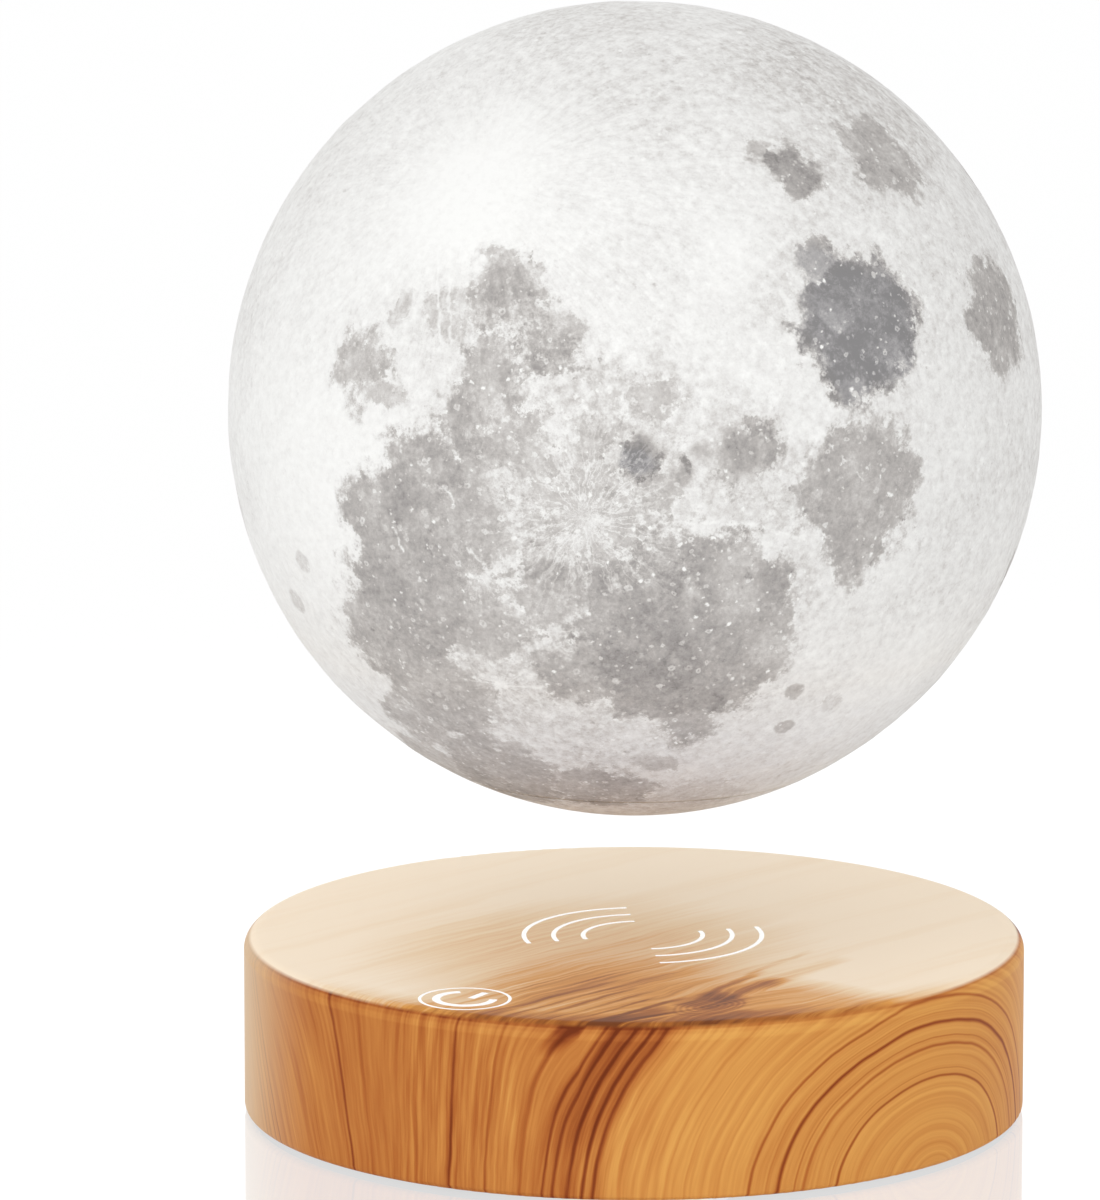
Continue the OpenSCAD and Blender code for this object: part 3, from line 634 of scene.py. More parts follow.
    def mottles(self, tree: Tree, out: Node, broken: Node) -> Node:
        """Draw the ragged bright patches that lie on the seas of the broken country.

        Args:
            tree: The material's tree.
            out: The direction from the moon's middle.
            broken: How broken the country is, from 0 to 1.

        Returns:
            A node that gives their light.
        """
        place = self.warp(tree, out, 4.0, 0.06)
        bright = ripple(tree, place, self.radius_mm / 7, 8.0, 0.78)
        bright = add(tree, "MapRange", bright, 0, 0.14, 0, 0.65)
        share = add(tree, "Math.MULTIPLY_ADD", broken, 0.8, 0.2)
        return add(tree, "Math.MULTIPLY", bright, share)

    def seas(self, tree: Tree, out: Node, land: Node, broken: Node) -> Node:
        """Draw the seas over the highlands, with bays, coves and islands along their coasts.

        Args:
            tree: The material's tree.
            out: The direction from the moon's middle.
            land: The tone of the highlands.
            broken: How broken the country is, from 0 to 1.

        Returns:
            A node that gives the tone of both.
        """
        bent = self.warp(tree, out, 9.0, 0.16)
        cover = ink = 0.0
        for sea in SEAS:
            away = add(tree, "VectorMath.DISTANCE", bent, sea.middle())
            soft = min(3.4, 0.75 * sea.radius)
            inside = add(tree, "MapRange.SMOOTHSTEP", away, sea.reach(soft), sea.reach(-soft))
            cover = add(tree, "Math.MAXIMUM", cover, inside)
            inked = add(tree, "Math.MULTIPLY", inside, sea.tone)
            ink = add(tree, "Math.MAXIMUM", ink, inked)
        floor = add(tree, "Math.MAXIMUM", cover, 0.05)
        ink = add(tree, "Math.DIVIDE", ink, floor)
        wash = ripple(tree, out, self.radius_mm / 6.2, 7.0, 0.66)
        wash = add(tree, "MapRange", wash, -0.2, 0.2, 0.9, 1.4)
        ink = add(tree, "Math.MULTIPLY", ink, wash)
        coves = ripple(tree, out, self.radius_mm / 4.7, 8.0, 0.74)
        depth = add(tree, "Math.MULTIPLY_ADD", broken, 1.4, 2.5)
        coast = add(tree, "Math.MULTIPLY_ADD", coves, depth, cover)
        coast = add(tree, "MapRange.SMOOTHSTEP", coast, 0.1, 0.8)
        both = add(tree, "Mix", {"Factor": coast, "A": land, "B": ink})
        # Bright, broken mountain ranges stand along the coasts
        shore = add(tree, "Math.SUBTRACT", coast, 0.4)
        shore = add(tree, "Math.ABSOLUTE", shore)
        shore = add(tree, "MapRange", shore, 0.4, 0.1)
        peaks = ripple(tree, out, self.radius_mm / 3, 5.0, 0.7)
        peaks = add(tree, "MapRange", peaks, -0.02, 0.1, 0, 0.7)
        peaks = add(tree, "Math.MULTIPLY", peaks, shore)
        return self.lighten(tree, both, peaks)

    def rays(self, tree: Tree, out: Node) -> Node:
        """Draw the spokes of each ray crater, which fade outwards.

        Args:
            tree: The material's tree.
            out: The direction from the moon's middle.

        Returns:
            A node that gives their light.
        """
        total = 0.0
        for system in RAYS:
            centre = MAP.direction(system.latitude, system.longitude)
            place = self.warp(tree, out, 6.0, system.curl) if system.curl else out
            away, fan = spread(tree, place, centre, system.spokes, 4.0 if system.threads else 1.0)
            spoke = ripple(tree, fan, 1.0, 2.0 if system.threads else 6.0, 0.6)
            low, high = -0.02, 0.16
            if system.threads:
                # Thin threads run where the pattern is near its middle value
                spoke = add(tree, "Math.ABSOLUTE", spoke)
                low, high = 0.055, 0.01
            spoke = add(tree, "MapRange", spoke, low, high, 0, system.light)
            fade = add(tree, "MapRange.SMOOTHSTEP", away, 2 * math.sin(math.radians(system.reach) / 2), 0.0)
            spoke = add(tree, "Math.MULTIPLY", spoke, fade)
            total = add(tree, "Math.MAXIMUM", total, spoke)
        return total

    def strokes(self, tree: Tree, place: Node, strokes: list[Stroke]) -> Node:
        """Draw thin bright lines along great circles.

        Args:
            tree: The material's tree.
            place: The direction from the moon's middle, bent or not.
            strokes: The lines.

        Returns:
            A node that gives their light.
        """
        total = 0.0
        for stroke in strokes:
            start, end = MAP.direction(*stroke.start), MAP.direction(*stroke.end)
            near = add(tree, "VectorMath.NORMALIZE", closest(tree, place, start, end)[1])
            away = add(tree, "VectorMath.DISTANCE", place, near)
            line = add(
                tree, "MapRange.SMOOTHSTEP", away, stroke.width_mm / self.radius_mm, 0.0, 0, stroke.light)
            total = add(tree, "Math.MAXIMUM", total, line)
        return total

    def pepper(self, tree: Tree, out: Node, tone: Node, rough: Node) -> Node:
        """Scatter the small craters: bright specks, rings with a dark floor, and dark flecks.

        Args:
            tree: The material's tree.
            out: The direction from the moon's middle.
            tone: The tone so far.
            rough: A wide pattern that says where they crowd.

        Returns:
            A node that gives the tone with them.
        """
        crowd = add(tree, "MapRange", tone, 0.04, 0.32, 0.42, 1.1)
        bent = self.warp(tree, out, 1.25, 0.02)
        # Cell size on the moon in mm, radius and width of the ring in cells, chosen share, light
        kinds = [(1.2, 0.0, 0.3, 0.35, 0.7), (2.2, 0.0, 0.24, 0.4, 1.0), (2.9, 0.17, 0.11, 0.35, 0.5),
                 (1.7, 0.2, 0.14, 0.35, 0.45)]
        for cell, ring, width, share, light in kinds:
            cells = add(tree, "TexVoronoi", {"Vector": bent, "Scale": self.radius_mm / cell})
            spot = band(tree, cells, ring, width, width * 0.4, light)
            chance = add(tree, "SeparateColor", {"Color": cells.outputs["Color"]})
            chosen = add(tree, "MapRange", chance, 1 - share)
            spot = add(tree, "Math.MULTIPLY", spot, chosen)
            spot = add(tree, "Math.MULTIPLY", spot, crowd)
            tone = self.lighten(tree, tone, spot)
        grit = ripple(tree, out, self.radius_mm / 1.4, 6.0, 0.8)
        grit = add(tree, "Math.MULTIPLY", grit, crowd)
        tone = add(tree, "Math.MULTIPLY_ADD", grit, 0.8, tone)
        flecks = ripple(tree, bent, self.radius_mm / 1.5, 4.0, 0.7)
        flecks = add(tree, "MapRange", flecks, 0.07, 0.2, 0, 0.22)
        where = add(tree, "MapRange", rough, -0.1, 0.1)
        flecks = add(tree, "Math.MULTIPLY", flecks, where)
        flecks = add(tree, "Math.MULTIPLY", flecks, crowd)
        return add(tree, "Math.ADD", tone, flecks, use_clamp=True)


@dataclass(frozen=True)
class WoodFilm(Finish):
    """Moulded ABS under a printed wood-grain film and a satin lacquer.

    The eye gets warm pine grain with reddish-brown latewood on the side, a painted sheen at its left end and
    a painted highlight under the rounded edge, a top with one knot that is painted pale where the lacquer's
    sheen lies and darker under the moon, and the soft sheen of the lacquer.

    Attributes:
        radius_mm: The casing's radius.
        height_mm: The casing's height.
        facing: The angle of the camera's side of the base about Z, in degrees.
        heart_mm: Where the arches of the side have their heart: along the side and up.
        arch: How much flatter than a circle the arches are.
        knot_mm: Where the top's knot lies, with -Y towards the camera.
        grain: The direction of the top's grain, in degrees.
    """

    radius_mm: float = field(default_factory=lambda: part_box("wood_casing")[1][0] / MM)
    height_mm: float = field(default_factory=lambda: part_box("wood_casing")[1][2] / MM)
    facing: float = -58.0
    heart_mm: tuple[float, float] = (62.0, -2.0)
    arch: float = 1.2
    knot_mm: tuple[float, float] = (13.6, -58.3)
    grain: float = 48.0

    def shade(self, tree: Tree) -> Node:
        """Make the shader: the side's film, the top's film and the lacquer over both.

        Args:
            tree: The material's empty tree.

        Returns:
            The shader's node.
        """
        place = add(tree, "TexCoord").outputs["Object"]
        mm = add(tree, "VectorMath.SCALE", {0: place, "Scale": 1 / MM})
        turned = add(tree, "VectorRotate.Z_AXIS", {"Vector": mm, "Angle": math.radians(-90 - self.facing)})
        axes = add(tree, "SeparateXYZ", turned)
        flat = add(tree, "CombineXYZ", {"X": axes.outputs["X"], "Y": axes.outputs["Y"]})
        out = add(tree, "VectorMath.LENGTH", flat)
        # The side's film wraps over the rounded edge and ends where the top lies flat
        lid = add(tree, "MapRange", out, self.radius_mm - 0.8, self.radius_mm - 1.4)
        level = add(tree, "MapRange", axes.outputs["Z"], self.height_mm - 2.0, self.height_mm - 1.0)
        lid = add(tree, "Math.MULTIPLY", lid, level)
        colour = add(
            tree, "Mix", {"Factor": lid, "A": self.side(tree, axes), "B": self.top(tree, flat)},
            data_type="RGBA")
        return add(
            tree, "BsdfPrincipled", {"Base Color": colour, "Roughness": 0.45, "IOR": 1.5,
            "Specular IOR Level": 0.09})

    def side(self, tree: Tree, axes: Node) -> Node:
        """Draw the side: leaning lines, upright lines, a dark fan, and arches on the right.

        Args:
            tree: The material's tree.
            axes: The place in millimetres, with -Y towards the camera.

        Returns:
            A node that gives the side's colour.
        """
        right, away, up = (axes.outputs[name] for name in "XYZ")
        near = add(tree, "Math.MULTIPLY", away, -1.0)
        angle = add(tree, "Math.ARCTAN2", right, near)
        run = add(tree, "Math.MULTIPLY", angle, self.radius_mm)
        # Growth rings: ellipses round the heart, upright lines on the left, leaning ones past them
        lift = add(tree, "MapRange", run, -50.0, -10.0, 0, self.arch)
        lean = add(tree, "MapRange", run, -85.0, -45.0, 0.5, 0.0)
        off = add(tree, "Math.MULTIPLY_ADD", lean, up, run)
        off = add(tree, "Math.SUBTRACT", off, self.heart_mm[0])
        rise = add(tree, "Math.SUBTRACT", up, self.heart_mm[1])
        rise = add(tree, "Math.MULTIPLY", rise, lift)
        pair = add(tree, "CombineXYZ", {"X": off, "Y": rise})
        ring = add(tree, "VectorMath.LENGTH", pair)
        wander = add(tree, "CombineXYZ", {"X": run, "Y": up})
        wander = ripple(tree, wander, 1 / 20, 3.0)
        ring = add(tree, "Math.MULTIPLY_ADD", wander, 1.6, ring)
        # Latewood by ring: a plain tone for each zone, then the dark lines, each with its width
        zones = [(0, .14), (22, .14), (37, .18), (44, .12), (58, .12), (67, .18), (69, .37), (79, .41),
                 (81.5, .34), (88, .3), (92, .38), (106, .4), (114, .38), (117, .42), (119, .4), (130, .36),
                 (150, .3), (200, .3), (240, .2), (290, .25)]
        lines = [(23.8, .5, .45), (25.4, .3, .2), (30.8, .6, .4), (32.6, .35, .25), (35.8, .75, .6),
                 (38, .3, .15), (41.2, .6, .45), (47, .4, .1), (53, .3, .12), (56.5, .4, .1), (69.6, .6, .4),
                 (71.6, .6, .44), (74.3, .7, .48), (76.9, .55, .44), (78.8, .5, .35), (83.2, .7, .25),
                 (89.6, .5, .35), (96.6, .5, .4), (113.5, 1, .15), (118.2, .5, .4), (141.5, .4, .35),
                 (143.4, .4, .4), (145.6, .4, .35), (147.5, .4, .25), (168, .6, .4), (171, .5, .3),
                 (181, .7, .4), (205, .5, .3), (230, .8, .35), (236, .5, .3), (262, .5, .3)]
        span = 290.0
        share = add(tree, "Math.DIVIDE", ring, span)
        tone = add(
            tree, "ValToRGB", share, stops=[(at / span, (dark, dark, dark, 1)) for at, dark in zones])
        for at, width, dark in lines:
            tone = add(tree, "Math.ADD", tone, band(tree, ring, at, width, 0.0, dark))
        # Fine grain: growth lines about a millimetre apart, strong where the lines stand upright
        along = add(tree, "Math.MULTIPLY", up, 0.045)
        grain_place = add(tree, "CombineXYZ", {"X": ring, "Y": along})
        fine = ripple(tree, grain_place, 1 / 1.05, 2.5, 0.55)
        strengths = [(0, .6), (44, .55), (60, .6), (72, 1), (82, .7), (88, 1), (104, 1), (110, .55),
                     (135, .75), (290, .5)]
        strong = add(
            tree, "ValToRGB", share, stops=[(at / span, (much, much, much, 1)) for at, much in strengths])
        fine = add(tree, "Math.MULTIPLY", fine, strong)
        tone = add(tree, "Math.ADD", tone, fine)
        # The fan is darkest at the top, where a short hook also comes down from the knot's band
        for low, high, start, much in ((67.5, 80.5, 6.0, 0.28), (81.8, 84.8, 27.0, 0.5)):
            fan = band(tree, ring, (low + high) / 2, (high - low) / 2, (high - low) / 4, much)
            climb = add(tree, "MapRange", up, start, self.height_mm - 2)
            fan = add(tree, "Math.MULTIPLY", fan, climb)
            tone = add(tree, "Math.ADD", tone, fan)
        # Over the rounded edge: a dark line where the film is stretched, and a painted highlight line under
        # it
        for below, half, much in ((0.7, 0.55, 0.22), (2.4, 0.9, -0.08)):
            edge = band(tree, up, self.height_mm - below, half, half / 3, much)
            tone = add(tree, "Math.ADD", tone, edge)
        colour = add(
            tree, "ValToRGB", tone, stops=[(0.0, linear("#E3A657")), (0.25, linear("#CE8843")),
            (0.5, linear("#B5682F")), (0.75, linear("#91461D")), (1.0, linear("#73300F"))])
        # Painted sheen: the side is painted pale and greyish towards the left end of the grain, where the
        # lacquer meets the eye at a grazing angle, and back again behind it
        painted_sheen_and_shade = add(tree, "MapRange.SMOOTHSTEP", run, -66.0, -106.0, 0, 0.8)
        back = add(tree, "MapRange.SMOOTHSTEP", run, -150.0, -112.0)
        painted_sheen_and_shade = add(tree, "Math.MULTIPLY", painted_sheen_and_shade, back)
        return add(tree, "Mix", {"Factor": painted_sheen_and_shade, "A": colour, "B": linear("#E2C8A4")}, data_type="RGBA")

    def top(self, tree: Tree, flat: Node) -> Node:
        """Draw the top: straight grain that bends round one knot, warm at the front, painted pale where the
        lacquer's sheen lies and darker under the moon.

        Args:
            tree: The material's tree.
            flat: The place on the top in millimetres, with -Y towards the camera.

        Returns:
            A node that gives the top's colour.
        """
        offset = add(tree, "VectorMath.SUBTRACT", flat, (*self.knot_mm, 0.0))
        grain = add(tree, "VectorRotate.Z_AXIS", {"Vector": offset, "Angle": -math.radians(self.grain)})
        bend = add(tree, "TexNoise", {"Vector": flat, "Scale": 1 / 9, "Detail": 4.0})
        bend = add(tree, "VectorMath.SUBTRACT", bend.outputs["Color"], (0.5, 0.5, 0.5))
        grain = add(tree, "VectorMath.MULTIPLY_ADD", bend, (2.0, 2.0, 0.0), grain)
        parts = add(tree, "SeparateXYZ", grain)
        along, across = parts.outputs["X"], parts.outputs["Y"]
        oval = add(tree, "VectorMath.MULTIPLY", grain, (1 / 7.5, 1 / 4.6, 0))
        oval = add(tree, "VectorMath.LENGTH", oval)
        core = add(tree, "MapRange.SMOOTHSTEP", oval, 1.25, 0.95)
        # The growth lines part round the knot
        swell = add(tree, "MapRange.SMOOTHERSTEP", oval, 0.0, 4.0, 4.6, 0.0)
        way = add(tree, "Math.SIGN", across)
        lines = add(tree, "Math.MULTIPLY_ADD", swell, way, across)
        wander = add(tree, "TexNoise", {"Vector": flat, "Scale": 1 / 26, "Detail": 3.0})
        lines = add(tree, "Math.MULTIPLY_ADD", wander, 4.0, lines)
        run = add(tree, "Math.MULTIPLY", along, 0.03)
        grain_place = add(tree, "CombineXYZ", {"X": lines, "Y": run})
        fine = ripple(tree, grain_place, 1 / 1.3, 4.0, 0.6)
        wide = ripple(tree, grain_place, 1 / 8, 2.0)
        wide = add(tree, "MapRange", wide, -0.1, 0.15, -0.02, 0.03)
        # Painted sheen and shade: the top is painted pale at the back and sides, where the lacquer's sheen
        # lies, warm at the front, and darker round a point under the moon, where its shadow falls
        radius = add(tree, "VectorMath.LENGTH", flat)
        painted_sheen_and_shade = add(tree, "VectorMath.DISTANCE", flat, (-8.0, -16.0, 0.0))
        painted_sheen_and_shade = add(tree, "MapRange.SMOOTHSTEP", painted_sheen_and_shade, 52.0, 10.0, 0, 0.22)
        front = add(tree, "VectorMath.MULTIPLY_ADD", grain, (1 / 42, 1 / 32, 0), (0.3, -0.5, 0))
        front = add(tree, "VectorMath.LENGTH", front)
        front = add(tree, "MapRange.SMOOTHSTEP", front, 1.2, 0.3, 0, 0.36)
        rim = add(tree, "MapRange", radius, self.radius_mm - 9.0, self.radius_mm - 1.0, 0, 0.4)
        view = add(tree, "SeparateXYZ", flat)
        near = add(tree, "MapRange", view.outputs["Y"], -38.0, -60.0)
        rim = add(tree, "Math.MULTIPLY", rim, near)
        dark = add(tree, "Math.ADD", painted_sheen_and_shade, front)
        dark = add(tree, "Math.ADD", dark, rim)
        # Latewood round the knot: each stroke's ends along and across the grain, half width and tone
        strokes = [(-18, -12, 30, -9, 13, .3), (-28, 7.6, 3, 7.4, 0.8, .42), (-27, 6.6, -5, 3.8, 2.8, .34),
                   (-24, 5.4, -6, 1.4, 0.8, .3), (-4, 1.5, 11, 3.4, 4.6, .26), (2, 3.0, 26, 4.4, 2.8, .34),
                   (4, 6, 28, 11, 1.2, .24), (14, 4.0, 46, 6.5, 2.4, .12), (22, 11, 46, 15, 0.9, .1),
                   (-30, 26, 5, 25.6, 0.7, .2),
                   (-28, 22, 3, 22.4, 0.5, .15), (-26, 18, 3, 19.4, 0.7, .2), (-25, 14.5, 2, 15, 0.6, .16),
                   (-22, 30, 8, 29.5, 0.6, .13), (-32, 35, -4, 34, 0.6, .1), (-24, 11, 0, 11.6, 0.5, .2),
                   (-14, -6, 4, -7.5, 2.2, .2)]
        for start_along, start_across, end_along, end_across, half, much in strokes:
            start, end = Vector((start_along, start_across, 0)), Vector((end_along, end_across, 0))
            part, near = closest(tree, grain, start, end)
            away = add(tree, "VectorMath.DISTANCE", grain, near)
            stroke = add(tree, "MapRange.SMOOTHSTEP", away, half * 1.35, half * 0.3, 0, much)
            # Each stroke fades out at both ends
            left = add(tree, "Math.SUBTRACT", 1.0, part)
            left = add(tree, "Math.MULTIPLY", left, part)
            taper = add(tree, "MapRange", left, 0, 0.16)
            stroke = add(tree, "Math.MULTIPLY", stroke, taper)
            dark = add(tree, "Math.ADD", dark, stroke)
        # The knot's own rings, about 0.9 mm apart
        turns = add(tree, "Math.MULTIPLY", oval, 2 * math.pi * 5)
        turns = add(tree, "Math.SINE", turns)
        turns = add(tree, "Math.MULTIPLY_ADD", turns, 0.07, 0.14)
        dark = add(tree, "Math.MULTIPLY_ADD", core, turns, dark)
        strength = add(tree, "Math.MULTIPLY_ADD", dark, 1.7, 0.08)
        fine = add(tree, "Math.MULTIPLY", fine, strength)
        dark = add(tree, "Math.ADD", dark, fine)
        dark = add(tree, "Math.ADD", dark, wide)
        return add(
            tree, "ValToRGB", dark, stops=[(0.0, linear("#FFECD2")), (0.15, linear("#F4D6AE")),
            (0.4, linear("#E09E50")), (0.65, linear("#B16B30")), (1.0, linear("#7A4322"))])


@dataclass(frozen=True)
class MarkInk(Finish):
    """Screen-printed white ink under the lacquer; the eye gets thin, slightly worn white lines."""

    def shade(self, tree: Tree) -> Node:
        """Make the shader.

        Args:
            tree: The material's empty tree.

        Returns:
            The shader's node.
        """
        place = add(tree, "TexCoord").outputs["Object"]
        worn = add(tree, "TexNoise", {"Vector": place, "Scale": 1 / (0.8 * MM), "Detail": 3.0})
        colour = add(
            tree, "Mix", {"Factor": worn, "A": linear("#FFFFFF"), "B": linear("#F8F2EA")}, data_type="RGBA")
        return add(
            tree, "BsdfPrincipled", {"Base Color": colour, "Roughness": 0.2, "IOR": 1.5, "Coat Weight": 1.0,
            "Coat Roughness": 0.1})


@dataclass(frozen=True)
class FloorLacquer(Finish):
    """A glossy white table top, seen as plain white, that keeps the lamp's shadow and image.

    Attributes:
        plain: The share of plain white that the eye gets.
        image: The share of the gloss.
    """

    plain: float = 0.95
    image: float = 0.29

    def shade(self, tree: Tree) -> Node:
        """Make the shader: mostly plain white for the eye, with some light that it really gets.

        Args:
            tree: The material's empty tree.

        Returns:
            The shader's node.
        """
        plain = add(tree, "Emission", {"Color": linear("#FFFFFF"), "Strength": 1.0})
        lit = add(tree, "BsdfPrincipled", {"Base Color": linear("#FAFAFA"), "Roughness": 0.5, "IOR": 1.45})
        share = add(tree, "Math.MULTIPLY", seen(tree), self.plain)
        both = add(tree, "MixShader", share, lit, plain)
        image = add(tree, "BsdfGlossy", {"Color": linear("#FFFFFF"), "Roughness": 0.06})
        return add(tree, "MixShader", self.image, both, image)


# ---- Sub-assemblies ----------------------------------------------------------------------


# Wide craters: latitude, longitude and width in kilometres
CRATERS = [
    # Ray craters and walled plains of the near side
    (-43, -11, 102), (10, -20, 107), (24, -47, 90), (8, -38, 80), (-58, -14, 225),
    (-44, -55, 227), (-32, -5, 220), (-9, -2, 153), (-11, 4, 129), (-5, -68, 222),
    (-18, -39, 110), (-11, 26, 110), (-50, -6, 163), (-50, -22, 157), (52, -9, 101),
    (50, 17, 90), (32, 30, 95), (28, 56, 126), (-9, 61, 127), (-25, 60, 177),
    (-45, 42, 200), (-34, 60, 135), (62, -41, 165), (-67, -69, 303), (54, 57, 125),
    (-42, 14, 114), (65, 4, 158), (-16, 61, 131), (-30, 32, 88), (44, -31, 230),
    # Basins of the far side
    (-4, -157, 437), (2, -128, 500), (-36, -152, 500), (-57, 135, 319), (-75, 132, 312),
    (-20, 149, 265), (-21, 129, 185), (51, 164, 230), (-35, 147, 143), (-38, 178, 245),
    (-35, -166, 160), (-31, 113, 272), (-14, -152, 190), (45, 152, 219), (22, -175, 180),
    (-57, 163, 325),
]
MOON_KM = 1737.4


@dataclass
class Moon:
    """The printed moon: a hollow shell with a mouth at the bottom for the cap.

    Attributes:
        radius: Its outer radius.
        wall: Its wall.
        mouth: The mouth's radius.
        rings: How many rows of faces the outside has.
        spokes: How many faces go round it.
        inner_rings: How many rows of faces the inside has.
        relief: The depth of the print's fine relief.
        slope: How deep a crater is for each metre of its width.
    """

    radius: float = MOON_MM * MM
    wall: float = 2 * MM
    mouth: float = 34 * MM
    rings: int = 200
    spokes: int = 384
    inner_rings: int = 24
    relief: float = 0.12 * MM
    slope: float = 0.03

    @property
    def middle(self) -> float:
        """Give the height of the moon's middle, from the plain shell's top."""
        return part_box("globe_shell")[1][2] - self.radius

    def rows(self, radius: float, count: int) -> np.ndarray:
        """Give the directions of a ball's points, from the mouth's edge up to near the top.

        Args:
            radius: The ball's radius.
            count: How many rows of faces it has.

        Returns:
            An array of rows, points and coordinates.
        """
        low = math.pi - math.asin(self.mouth / radius)
        polar = low * (1 - np.arange(count) / count)[:, None]
        turn = (2 * math.pi * np.arange(self.spokes) / self.spokes)[None, :]
        return np.stack([np.sin(polar) * np.cos(turn), np.sin(polar) * np.sin(turn),
                         np.cos(polar) * np.ones_like(turn)], axis=-1)

    def depth(self, out: np.ndarray) -> np.ndarray:
        """Give how far the surface lies below the ball in each direction.

        Args:
            out: The directions, one in each row.

        Returns:
            The depths, in metres.
        """
        grain = np.array([noise.fractal(Vector(o) * 9, 0.9, 2.1, 5) for o in out])
        depth = self.relief * (1 + np.clip(grain, -1, 1))
        for latitude, longitude, width in CRATERS:
            half = width / MOON_KM / 2
            away = np.linalg.norm(out - np.array(MAP.direction(latitude, longitude)), axis=1) / half
            bowl = np.clip(1 - away ** 2, 0, 1) ** 1.5
            depth = np.maximum(depth, depth * 0.5 + bowl * 2 * half * self.radius * self.slope)
        low = np.arccos(np.clip(-out[:, 2], -1, 1))
        edge = math.asin(self.mouth / self.radius)
        return depth * np.clip((low - edge) / 0.08, 0, 1)

    def mesh(self) -> bpy.types.Object:
        """Build the shell: a relief outside, a plain inside and the mouth's wall.

        Returns:
            The moon's object.
        """
        n, inner_radius = self.spokes, self.radius - self.wall
        outside = self.rows(self.radius, self.rings).reshape(-1, 3)
        inside = self.rows(inner_radius, self.inner_rings).reshape(-1, 3)
        top, bottom = len(outside), len(outside) + 1 + len(inside)
        points = np.concatenate([
            outside * (self.radius - self.depth(outside))[:, None], [(0, 0, self.radius - self.relief)],
            inside * inner_radius, [(0, 0, inner_radius)]])
        points[:, 2] += self.middle
        faces = []
        skins = ((0, self.rings, top, False), (top + 1, self.inner_rings, bottom, True))
        for first, rows, end, flip in skins:
            for i in range(rows - 1):
                for j in range(n):
                    a, b = first + i * n + j, first + i * n + (j + 1) % n
                    faces.append((a, a + n, b + n, b) if flip else (a, b, b + n, a + n))
            last = first + (rows - 1) * n
            for j in range(n):
                pair = (last + j, last + (j + 1) % n)
                faces.append((pair[1], pair[0], end) if flip else (*pair, end))
        inner = top + 1
        faces += [(inner + j, inner + (j + 1) % n, (j + 1) % n, j) for j in range(n)]
        return piece("moon_globe", points, faces)

    def dress(self) -> None:
        """Put the shell in place of the plain one, with the printed map."""
        globe = self.mesh()
        globe.data.materials.append(MoonPrint("printed_pla_with_map", self.middle).build())
        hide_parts("globe_shell")
        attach(globe, "moon")
        log.info("moon: %d faces", len(globe.data.polygons))


@dataclass
class TopMarks:
    """The white marks on the top: the touch key's sign and two groups of arcs.

    Attributes:
        height: The casing's top.
        proud: How far the ink stands out of it.
        sunk: How far it reaches into the film.
        key: Where the touch key's sign lies.
        middle: The middle of the two groups of arcs.
    """

    height: float = field(default_factory=lambda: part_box("wood_casing")[1][2])
    proud: float = 0.02 * MM
    sunk: float = 0.02 * MM
    key: tuple[float, float] = (2.0 * MM, -61.0 * MM)
    middle: tuple[float, float] = (2.9 * MM, -1.5 * MM)

    def arc(self, centre: tuple[float, float], radius: float, width: float, start: float,
            end: float) -> list[tuple[Vector, Vector]]:
        """Give the two edges of an arc.

        Args:
            centre: The arc's centre.
            radius: Its radius.
            width: Its width.
            start: Its first angle, in degrees.
            end: Its last angle, in degrees.

        Returns:
            Pairs of points, one on each edge.
        """
        steps = max(8, int(abs(end - start) / 4))
        turns = [math.radians(start + (end - start) * i / steps) for i in range(steps + 1)]
        rays = [Vector((math.cos(turn), math.sin(turn))) for turn in turns]
        return [tuple(Vector(centre) + ray * reach for reach in (radius - width / 2, radius + width / 2))
                for ray in rays]

    def bar(self, start: tuple[float, float], end: tuple[float, float],
            width: float) -> list[tuple[Vector, Vector]]:
        """Give the two edges of a straight bar between the middles of its ends."""
        way = (Vector(end) - Vector(start)).normalized()
        half = Vector((-way.y, way.x)) * width / 2
        return [(spot + half, spot - half) for spot in (Vector(start), Vector(end))]

    def strip(self, pairs: list[tuple[Vector, Vector]]) -> tuple[list[Vector], list[tuple[int, ...]]]:
        """Make one strip of ink, closed all round.

        Args:
            pairs: Pairs of points, one on each edge.

        Returns:
            The strip's points and faces.
        """
        levels = (self.height - self.sunk, self.height + self.proud)
        points = [Vector((*side, up)) for pair in pairs for side in pair for up in levels]
        last = len(points) - 4
        faces = [(0, 1, 3, 2), (last, last + 2, last + 3, last + 1)]
        for a in range(0, last, 4):
            b = a + 4
            faces += [(a + 1, b + 1, b + 3, a + 3), (a, a + 2, b + 2, b), (a, b, b + 1, a + 1),
                      (a + 2, a + 3, b + 3, b + 2)]
        return points, faces

    def dress(self) -> None:
        """Build all the marks as one piece of ink on the top."""
        sign = (self.key[0] + 0.75 * MM, self.key[1] + 0.9 * MM)
        tip = (self.key[0] + 0.7 * MM, self.key[1] + 5.9 * MM)
        edges = [self.arc(self.key, 8.2 * MM, 0.62 * MM, 0, 360),
                 self.arc(self.key, 5.2 * MM, 1.5 * MM, 132, 387), self.bar(sign, tip, 1.4 * MM)]
        edges += [self.arc(self.middle, radius * MM, 0.9 * MM, side - 50, side + 50)
                  for side in (0, 180) for radius in (11.1, 16.6, 22.1)]
        vertices, faces = [], []
        for points, quads in map(self.strip, edges):
            start = len(vertices)
            vertices += points
            faces += [tuple(start + v for v in quad) for quad in quads]
        marks = piece("top_marks", vertices, faces, smooth=False)
        marks.data.materials.append(MarkInk("white_screen_ink").build())
        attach(marks, "base")
        log.info("top marks: %d strips", len(edges))


